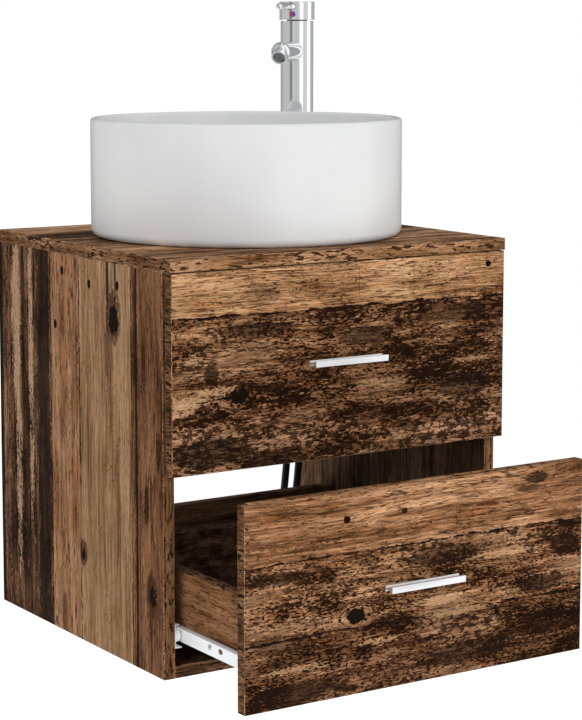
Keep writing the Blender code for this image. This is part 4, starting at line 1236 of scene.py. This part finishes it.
TAP_HEIGHT, TAP_RADIUS = 0.300, 0.0227
CAP_RADIUS, CAP_HEIGHT = 0.0243, 0.025
BODY_TOP = TAP_HEIGHT - CAP_HEIGHT - 0.0015
SPOUT_HEIGHT, SPOUT_RADIUS, SPOUT_REACH = 0.2314, 0.0135, 0.084
AERATOR_TILT, AERATOR_RADIUS = radians(35), 0.0108
LEVER_HEIGHT, LEVER_REACH, LEVER_RADIUS = 0.2930, 0.098, 0.0043
LEVER_START = 0.0115
PIVOT_HEIGHT = 0.2637
SHANK_RADIUS = 0.0168
CARTRIDGE_RADIUS = 0.0172
CARTRIDGE_LOW = BODY_TOP - 0.030
INDICATOR_HEIGHT = TAP_HEIGHT - 0.0173
BEYOND = 0.04


def forward_of(height):
    """A place on the tap's axis whose local Z points over the spout."""
    return TAP_PLACE @ Matrix.Translation((0, 0, height)) @ Matrix.Rotation(TO_BASIN, 4, 'Z') \
        @ Matrix.Rotation(pi / 2, 4, 'Y')


SPOUT_PLACE = forward_of(SPOUT_HEIGHT)
NOSE_PLACE = SPOUT_PLACE @ Matrix.Translation((0, 0, SPOUT_REACH)) @ Matrix.Rotation(AERATOR_TILT, 4, 'Y')


def true_normals(made, rounds):
    """Point the smooth faces' normals straight out from the round forms they belong to."""
    mesh = made.data
    normals = [Vector(corner.normal) for corner in mesh.loops]
    for face in mesh.polygons:
        for place, radius, low, high in rounds:
            back = place.inverted()
            middle, facing = back @ face.center, back.to_3x3() @ face.normal
            flat = Vector((middle.x, middle.y, 0.0)) if radius[1] == "rod" else middle
            points_out = flat.length > 0 and facing.dot(flat.normalized()) > 0.97
            if points_out and abs(flat.length - radius[0]) < 0.0002 and low < middle.z < high:
                for index in face.loop_indices:
                    corner = back @ mesh.vertices[mesh.loops[index].vertex_index].co
                    if radius[1] == "rod":
                        corner.z = 0.0
                    normals[index] = (place.to_3x3() @ corner).normalized()
                break
    mesh.normals_split_custom_set(normals)


def tap_body(finish):
    """A hollow column with its spout, open below for the shank and above for the cartridge."""
    edge, foot, rise = 0.0005, 0.0265, 0.006
    profile = [(0.0, BODY_TOP), (TAP_RADIUS - edge, BODY_TOP), (TAP_RADIUS, BODY_TOP - edge),
               (TAP_RADIUS, rise + 0.0012)]
    profile += arc((TAP_RADIUS + 0.0008, rise + 0.0008), 0.0008, 180, 270, 4)
    profile += arc((foot - 0.0012, rise - 0.0012), 0.0012, 90, 0, 6)
    profile += [(foot, GAP), (0.0, GAP)]
    shape = lathe(profile, TAP_PLACE, 128)
    nose = arc((0.0, SPOUT_REACH), SPOUT_RADIUS, 90, 0, 24)[:-1]
    nose = [(0.0, SPOUT_REACH + SPOUT_RADIUS)] + nose[1:]
    spout = lathe(nose + [(SPOUT_RADIUS, SPOUT_REACH), (SPOUT_RADIUS, 0.006), (0.0, 0.006)], SPOUT_PLACE, 96)
    shape = cut(shape, spout, 'UNION')
    seat, low = CARTRIDGE_RADIUS + GAP, CARTRIDGE_LOW - GAP
    hollow, shank = TAP_RADIUS - 0.003, SHANK_RADIUS + GAP
    bore = [(0.0, TAP_HEIGHT), (seat, TAP_HEIGHT), (seat, low), (0.008, low), (0.008, low - 0.004),
            (hollow, low - 0.004), (hollow, 0.012), (shank, 0.012), (shank, -0.01), (0.0, -0.01)]
    shape = cut(shape, lathe(bore, TAP_PLACE, 96))
    shape = cut(shape, pin(SPOUT_RADIUS - 0.0035, 0.012, SPOUT_REACH, SPOUT_PLACE, 64))
    shape = cut(shape, pin(AERATOR_RADIUS + GAP, 0.0012, 0.03, NOSE_PLACE, 96))
    made = piece("tap_column", shape, finish, "cabinet", ["tap_body"], 28)
    true_normals(made, [(TAP_PLACE, (TAP_RADIUS, "rod"), 0.007, BODY_TOP),
                        (SPOUT_PLACE, (SPOUT_RADIUS, "rod"), 0.015, SPOUT_REACH),
                        (SPOUT_PLACE @ Matrix.Translation((0, 0, SPOUT_REACH)), (SPOUT_RADIUS, "ball"), 0.0,
                         1.0)])


def tap_aerator(finishes, wires):
    """A ring in the nose, with its wire mesh set back from the mouth."""
    outer, inner, mesh, mouth, low = AERATOR_RADIUS, 0.0082, 0.0108, 0.0138, 0.0018
    profile = [(0.0, mesh - 0.0008), (inner - 0.0004, mesh - 0.0008), (inner, mesh - 0.0004)]
    profile += arc((inner + 0.0005, mouth - 0.0005), 0.0005, 180, 90, 4)
    profile += arc((outer - 0.0006, mouth - 0.0006), 0.0006, 90, 0, 4) + [(outer, low), (0.0, low)]
    piece("aerator_ring", lathe(profile, NOSE_PLACE, 96), finishes["chrome"], "cabinet",
          ["tap_aerator"], 32)
    plate = lathe([(0.0, mesh - 0.0005), (inner - 0.0002, mesh - 0.0005), (inner - 0.0002, mesh - 0.0007),
                   (0.0, mesh - 0.0007)], NOSE_PLACE, 48)
    piece("aerator_strainer", plate, finishes["strainer"], "cabinet")
    net = wires.make("aerator_net", [((0, 0, 0), (0, 0, 1))], finishes["zinc"],
                     NOSE_PLACE @ Matrix.Translation((0, 0, mesh - 0.0001)), Radius=inner - 0.0004, Wires=19,
                     Wire=0.00013)
    piece("aerator_wires", net, finishes["zinc"], "cabinet", smooth=40)


def tap_handle(finishes):
    """The cap with its lever and indicator, the stem under it and the rotor it turns."""
    low, edge, wall = TAP_HEIGHT - CAP_HEIGHT, 0.0012, 0.0020
    skirt, roof, socket, socket_top = CAP_RADIUS - wall, TAP_HEIGHT - 0.015, 0.0044, TAP_HEIGHT - 0.011
    profile = [(0.0, TAP_HEIGHT)] + arc((CAP_RADIUS - edge, TAP_HEIGHT - edge), edge, 90, 0, 6)
    profile += arc((CAP_RADIUS - 0.0004, low + 0.0004), 0.0004, 0, -90, 3)
    profile += [(skirt, low), (skirt, roof), (socket, roof), (socket, socket_top), (0.0, socket_top)]
    shape = lathe(profile, TAP_PLACE, 128)
    shape = cut(shape, pin(LEVER_RADIUS + GAP, LEVER_START, BEYOND, forward_of(LEVER_HEIGHT), 48))
    shape = cut(shape, pin(0.0041, CAP_RADIUS - 0.0009, BEYOND, forward_of(INDICATOR_HEIGHT), 40))
    cap = piece("tap_cap_shell", shape, finishes["chrome"], "tap_handle", ["tap_cap"], 28)
    true_normals(cap, [(TAP_PLACE, (CAP_RADIUS, "rod"), low, TAP_HEIGHT - edge)])
    tip = [(0.0, LEVER_REACH)] + arc((0.0, LEVER_REACH - LEVER_RADIUS), LEVER_RADIUS, 90, 0, 14)[1:]
    start = LEVER_START + 0.0005
    lever = tip + [(LEVER_RADIUS, start + 0.0003), (LEVER_RADIUS - 0.0003, start), (0.0, start)]
    piece("tap_lever_pin", lathe(lever, forward_of(LEVER_HEIGHT), 64), finishes["chrome"], "tap_handle",
          ["tap_lever"], 32)
    base = CAP_RADIUS - 0.0006
    dome = [(0.0, base + 0.0012), (0.0010, base + 0.00117), (0.0020, base + 0.0010), (0.0029, base + 0.0008)]
    dome += arc((0.0037 - 0.0004, base + 0.0003), 0.0004, 60, 0, 4) + [(0.0037, base), (0.0, base)]
    piece("tap_indicator_cap", lathe(dome, forward_of(INDICATOR_HEIGHT), 48), finishes["enamel"],
          "tap_handle", ["tap_indicator"], 40)
    ball = arc((0.0, PIVOT_HEIGHT), 0.0055, 46, -90, 20)
    stem = [(0.0, TAP_HEIGHT - 0.0115), (0.0037, TAP_HEIGHT - 0.0115), (0.0040, TAP_HEIGHT - 0.0118),
            (0.0040, ball[0][1] + 0.0001)] + ball[:-1] + [(0.0, PIVOT_HEIGHT - 0.0055)]
    piece("tap_stem", lathe(stem, TAP_PLACE, 48), finishes["zinc"], "tap_handle",
          ["tap_spindle"], 32)
    piece("tap_rotor_ring", tube(0.0140, 0.0098, BODY_TOP, TAP_HEIGHT - 0.0230, TAP_PLACE, 64),
          finishes["grey"], "tap_rotor", ["tap_rotor"], 32)


def tap_inside(finishes, thread):
    """The cartridge in the column, and the threaded shank and nut under the countertop."""
    floor = PIVOT_HEIGHT - 0.0082
    top = BODY_TOP - GAP
    profile = [(0.0, floor), (0.0098, floor), (0.0098, top), (CARTRIDGE_RADIUS - 0.0004, top),
               (CARTRIDGE_RADIUS, top - 0.0004), (CARTRIDGE_RADIUS, CARTRIDGE_LOW),
               (0.0, CARTRIDGE_LOW)]
    piece("tap_cartridge_shell", lathe(profile, TAP_PLACE, 64), finishes["grey"], "cabinet",
          ["tap_cartridge"], 32)
    core, low = SHANK_RADIUS - 0.0004, -BOARD - SHANK_LENGTH
    shank = pin(core, low, 0.0115, TAP_PLACE, 96, 0.0006)
    piece("tap_shank_stub", shank, finishes["brass"], "cabinet", ["tap_shank"], 32)
    ridge = thread.make("shank_thread", [((0, 0, 0), (0, 0, 1))], finishes["brass"],
                        TAP_PLACE @ Matrix.Translation((0, 0, low + 0.0015)), Radius=core, Length=0.0150,
                        Pitch=0.0015, Ridge=0.0004)
    piece("tap_shank_thread", ridge, finishes["brass"], "cabinet", smooth=40)
    nut = hexagon(0.0432, -BOARD - 0.0115, -BOARD - GAP, SHANK_RADIUS + GAP, TAP_PLACE)
    piece("tap_shank_nut", nut, finishes["brass"], "cabinet", ["tap_backnut"], 30)


# Supply hoses

def hose_points(side, count=66):
    """A hose hanging from the shank, its lower part drifting slightly to the left."""
    points = []
    for step in range(count + 1):
        share = step / count
        drift = CURL * max(0.0, (share - CURL_START) / (1.0 - CURL_START)) ** 2
        points.append(Vector((TAP.x + side * HOSE_SPREAD - drift, TAP.y + CURL_BACK * drift,
                              HOSE_TOP - HOSE_LENGTH * share)))
    return points


def sweep(points, radius, sides):
    """A round tube with closed ends, and a map that unrolls it in metres."""
    shape = bmesh.new()
    chart = shape.loops.layers.uv.new("UVMap")
    rings, lengths, done = [], [], 0.0
    for i, point in enumerate(points):
        ahead = (points[min(i + 1, len(points) - 1)] - points[max(i - 1, 0)]).normalized()
        side = ahead.cross(Vector((0, 1, 0))).normalized()
        up = side.cross(ahead)
        done += (point - points[i - 1]).length if i else 0.0
        lengths.append(done)
        turns = [2 * pi * k / sides for k in range(sides)]
        rings.append([shape.verts.new(point + (side * cos(t) + up * sin(t)) * radius) for t in turns])
    for i in range(len(points) - 1):
        for k in range(sides):
            m = (k + 1) % sides
            face = shape.faces.new((rings[i][k], rings[i][m], rings[i + 1][m], rings[i + 1][k]))
            spots = [(k, i), (k + 1, i), (k + 1, i + 1), (k, i + 1)]
            for corner, (a, b) in zip(face.loops, spots):
                corner[chart].uv = (2 * pi * a / sides, lengths[b])
    shape.faces.new(rings[0])
    shape.faces.new(rings[-1])
    bmesh.ops.recalc_face_normals(shape, faces=shape.faces)
    return shape


def hose_nut(name, end, direction, finish, ribs):
    """A ribbed crimp sleeve and the union nut below it, open at the lower end."""
    place = Matrix.Translation(end) @ direction.to_track_quat('Z', 'Y').to_matrix().to_4x4()
    sleeve, wide, bore, length = 0.0062, 0.0100, 0.0080, 0.016
    profile = [(0.0, GAP), (sleeve - 0.0004, GAP), (sleeve, GAP + 0.0004), (sleeve, length),
               (0.0, length)]
    core = lathe(profile, Matrix(), 64)
    flats = wide * cos(pi / 6) * 2
    union = hexagon(flats, length, NUT_HEIGHT, bore, Matrix())
    floor = lathe([(0.0, length), (bore + 0.0004, length), (bore + 0.0004, NUT_HEIGHT - 0.010),
                   (0.0, NUT_HEIGHT - 0.010)], Matrix(), 64)
    shape = cut(cut(union, floor, 'UNION'), core, 'UNION')
    shape = joined(placed(shape, place), ribs.make("ribs", [((0, 0, 0), (0, 0, 1))], finish,
                                                   place @ Matrix.Translation((0, 0, 0.0024)),
                                                   Radius=0.0062, Rib=0.0004, Ribs=6, Spacing=0.0022))
    return piece(name + "_fitting", shape, finish, "cabinet", [name], 30)


def hoses(finishes, ribs):
    for name, side in (("hot_hose", -1), ("cold_hose", 1)):
        points = hose_points(side)
        way = (points[-1] - points[-4]).normalized()
        nut = hose_nut(name + "_nut", points[-1], way, finishes["zinc"], ribs)
        made = piece(name + "_line", sweep(points, HOSE_RADIUS, 24), finishes["hose"], "cabinet",
                     [name], 60)


# Camera, light and floor

def camera():
    data = bpy.data.cameras.new("camera")
    data.lens, data.sensor_width = LENS, 36.0
    data.shift_x, data.shift_y = SHIFT
    data.clip_end = 50.0
    eye = bpy.data.objects.new("camera", data)
    eye.location = EYE
    eye.rotation_euler = (pi / 2 - EYE_DIP, 0.0, -EYE_YAW)
    bpy.context.collection.objects.link(eye)
    bpy.context.scene.camera = eye


def studio():
    """White backdrop to the eye, even light on matt things, and upright strips for chrome to mirror."""
    world = bpy.data.worlds.new("studio")
    bpy.context.scene.world = world
    world.use_nodes = True
    tree = Finish.__new__(Finish)
    Tree.__init__(tree, world.node_tree)
    ray = tree.add("ShaderNodeLightPath").socket.node
    seen, gloss = Link(tree, ray.outputs["Is Camera Ray"]), Link(tree, ray.outputs["Is Glossy Ray"])
    x, y, z = tree.parts(tree.add("ShaderNodeTexCoord", out="Generated"))
    turn = tree.made_turn(x, y)
    strips = tree.ramp(turn, *[(place, (value, value, value)) for place, value in STRIPS])
    low_dark = tree.between(z, -0.9, -0.1)
    mirror = tree.mix(low_dark, (0.62, 0.62, 0.62), strips)
    even = tree.mix(tree.between(z, -0.5, 0.5), (0.78, 0.78, 0.78), (0.84, 0.84, 0.84))
    colour = tree.mix(seen, tree.mix(gloss, even, mirror), (1.0, 1.0, 1.0))
    tree.feed(world.node_tree.nodes["Background"].inputs[0], colour)


def made_turn(tree, x, y):
    """0 to 1 round the horizon: 0.5 is straight in front of the cabinet and 0.75 to its right."""
    angle = tree.add("ShaderNodeMath", {"operation": 'ARCTAN2'}, {0: x, 1: y * -1.0})
    return angle * (0.5 / pi) + 0.5


Tree.made_turn = made_turn
STRIPS = ((0.0, 0.50), (0.03, 0.50), (0.035, 0.30), (0.10, 0.52), (0.25, 0.54), (0.27, 0.24), (0.315, 0.24),
          (0.325, 0.62), (0.40, 0.52), (0.46, 0.66), (0.465, 1.2), (0.52, 1.2), (0.53, 0.70), (0.56, 0.62),
          (0.62, 0.72), (0.635, 1.2), (0.70, 1.2), (0.71, 0.50), (0.80, 0.42), (0.87, 0.25))


def lamp(name, place, aim, size, power):
    data = bpy.data.lights.new(name, 'AREA')
    data.shape, data.size, data.energy = 'SQUARE', size, power
    made = bpy.data.objects.new(name, data)
    made.location = place
    made.rotation_euler = (Vector(aim) - Vector(place)).to_track_quat('-Z', 'Y').to_euler()
    made.visible_glossy = False
    bpy.context.collection.objects.link(made)


def floor():
    finish = Finish("pale_floor", Roughness=0.9, Emission_Color=(1.0, 1.0, 1.0), Emission_Strength=0.30)
    cloud = finish.noise(finish.place(), 3, 2)
    finish.set("Base Color", finish.mix(cloud, (0.93, 0.93, 0.93), (0.96, 0.96, 0.96)))
    shape = bmesh.new()
    bmesh.ops.create_grid(shape, x_segments=8, y_segments=8, size=1.7)
    bmesh.ops.translate(shape, vec=(0, 0, FLOOR), verts=shape.verts)
    mesh = bpy.data.meshes.new("floor")
    shape.to_mesh(mesh)
    shape.free()
    mesh.materials.append(finish.material)
    made = bpy.data.objects.new("floor", mesh)
    bpy.context.collection.objects.link(made)


FLOOR = -0.80


def all_finishes():
    light = (tone(82, 52, 30), tone(124, 87, 58), tone(142, 105, 76))
    # dim is a darker copy of the outer drawer decor: painted shade for the faces inside the drawer boxes and
    # behind the fronts.
    dim = (tone(36, 20, 10), tone(68, 46, 32), tone(112, 82, 62))
    marks = {"dashes": 0.4, "cracks": 0.4, "clouds": 0.4, "blots": 0.3}
    return {
        "edges": edge_finishes(), "inner": inner_planks(),
        "dark": level_planks("rail_decor", 83.0, "x", "z", tone(62, 41, 26), tone(112, 82, 58),
                             tone(150, 115, 88), **marks),
        "box_out": level_planks("box_outer_decor", 89.0, "y", "z", *light, rust=0.4, dashes=0.8, blots=0.5),
        # The drawers' inside faces and the backs of the fronts take dim, the painted-shade copy.
        "box_in": level_planks("box_inner_decor", 97.0, "y", "z", *dim, **marks),
        "box_top": edge_band("box_edge_band", 101.0, tone(62, 40, 24), tone(92, 64, 44), tone(120, 88, 64),
                             "y", "x"),
        "front_back": level_planks("front_inner_decor", 103.0, "x", "z", *dim, **marks),
        "hardboard": hardboard(), "coat": powder_coat(), "zinc": galvanised(), "chrome": chrome(),
        "nylon": nylon("white_nylon_wheel", tone(226, 225, 220), tone(240, 239, 236)),
        "grey": nylon("grey_nylon_part", tone(74, 76, 80), tone(98, 100, 104)),
        "strainer": nylon("dark_strainer", tone(46, 47, 49), tone(70, 71, 74)),
        "bar": anodised(), "glaze": glaze(), "brass": brass(), "rubber": rubber(), "hose": hose_cover(),
        "enamel": indicator()}


def fit_screws(rig, finishes, cabinet_screws, drawer_screws):
    """All the screw heads: one mesh for the cabinet and one for each drawer."""
    for body, points in (("cabinet", cabinet_screws), *drawer_screws.items()):
        heads = rig.make(body + "_screws", points, finishes["zinc"], Radius=0.0033, Height=0.0014)
        piece(body + "_screw_heads", heads, finishes["zinc"], body)


def build():
    camera()
    finishes = all_finishes()
    ribs, thread, screws = rib_rig(), thread_rig(), screw_rig()
    hoses(finishes, ribs)
    cabinet_boards(finishes)
    drawer_boards(finishes)
    cabinet_screws, drawer_screws = [], {"lower_drawer": [], "upper_drawer": []}
    bracket(-1, "left", finishes["zinc"], cabinet_screws)
    bracket(1, "right", finishes["zinc"], cabinet_screws)
    runners(finishes, cabinet_screws, drawer_screws)
    fit_screws(screws, finishes, cabinet_screws, drawer_screws)
    handle("lower_drawer", finishes["bar"])
    handle("upper_drawer", finishes["bar"])
    basin(finishes["glaze"])
    waste(finishes, thread)
    tap_body(finishes["chrome"])
    tap_aerator(finishes, wire_rig())
    tap_handle(finishes)
    tap_inside(finishes, thread)
    floor()
    studio()
    lamp("key_light", (0.9, -3.6, 0.7), (0, -0.3, -0.1), 2.8, 45.0)
    lamp("fill_light", (-3.2, -1.4, 0.5), (0, -0.3, -0.1), 2.4, 18.0)
    bpy.context.scene.view_settings.view_transform = 'Standard'


build()
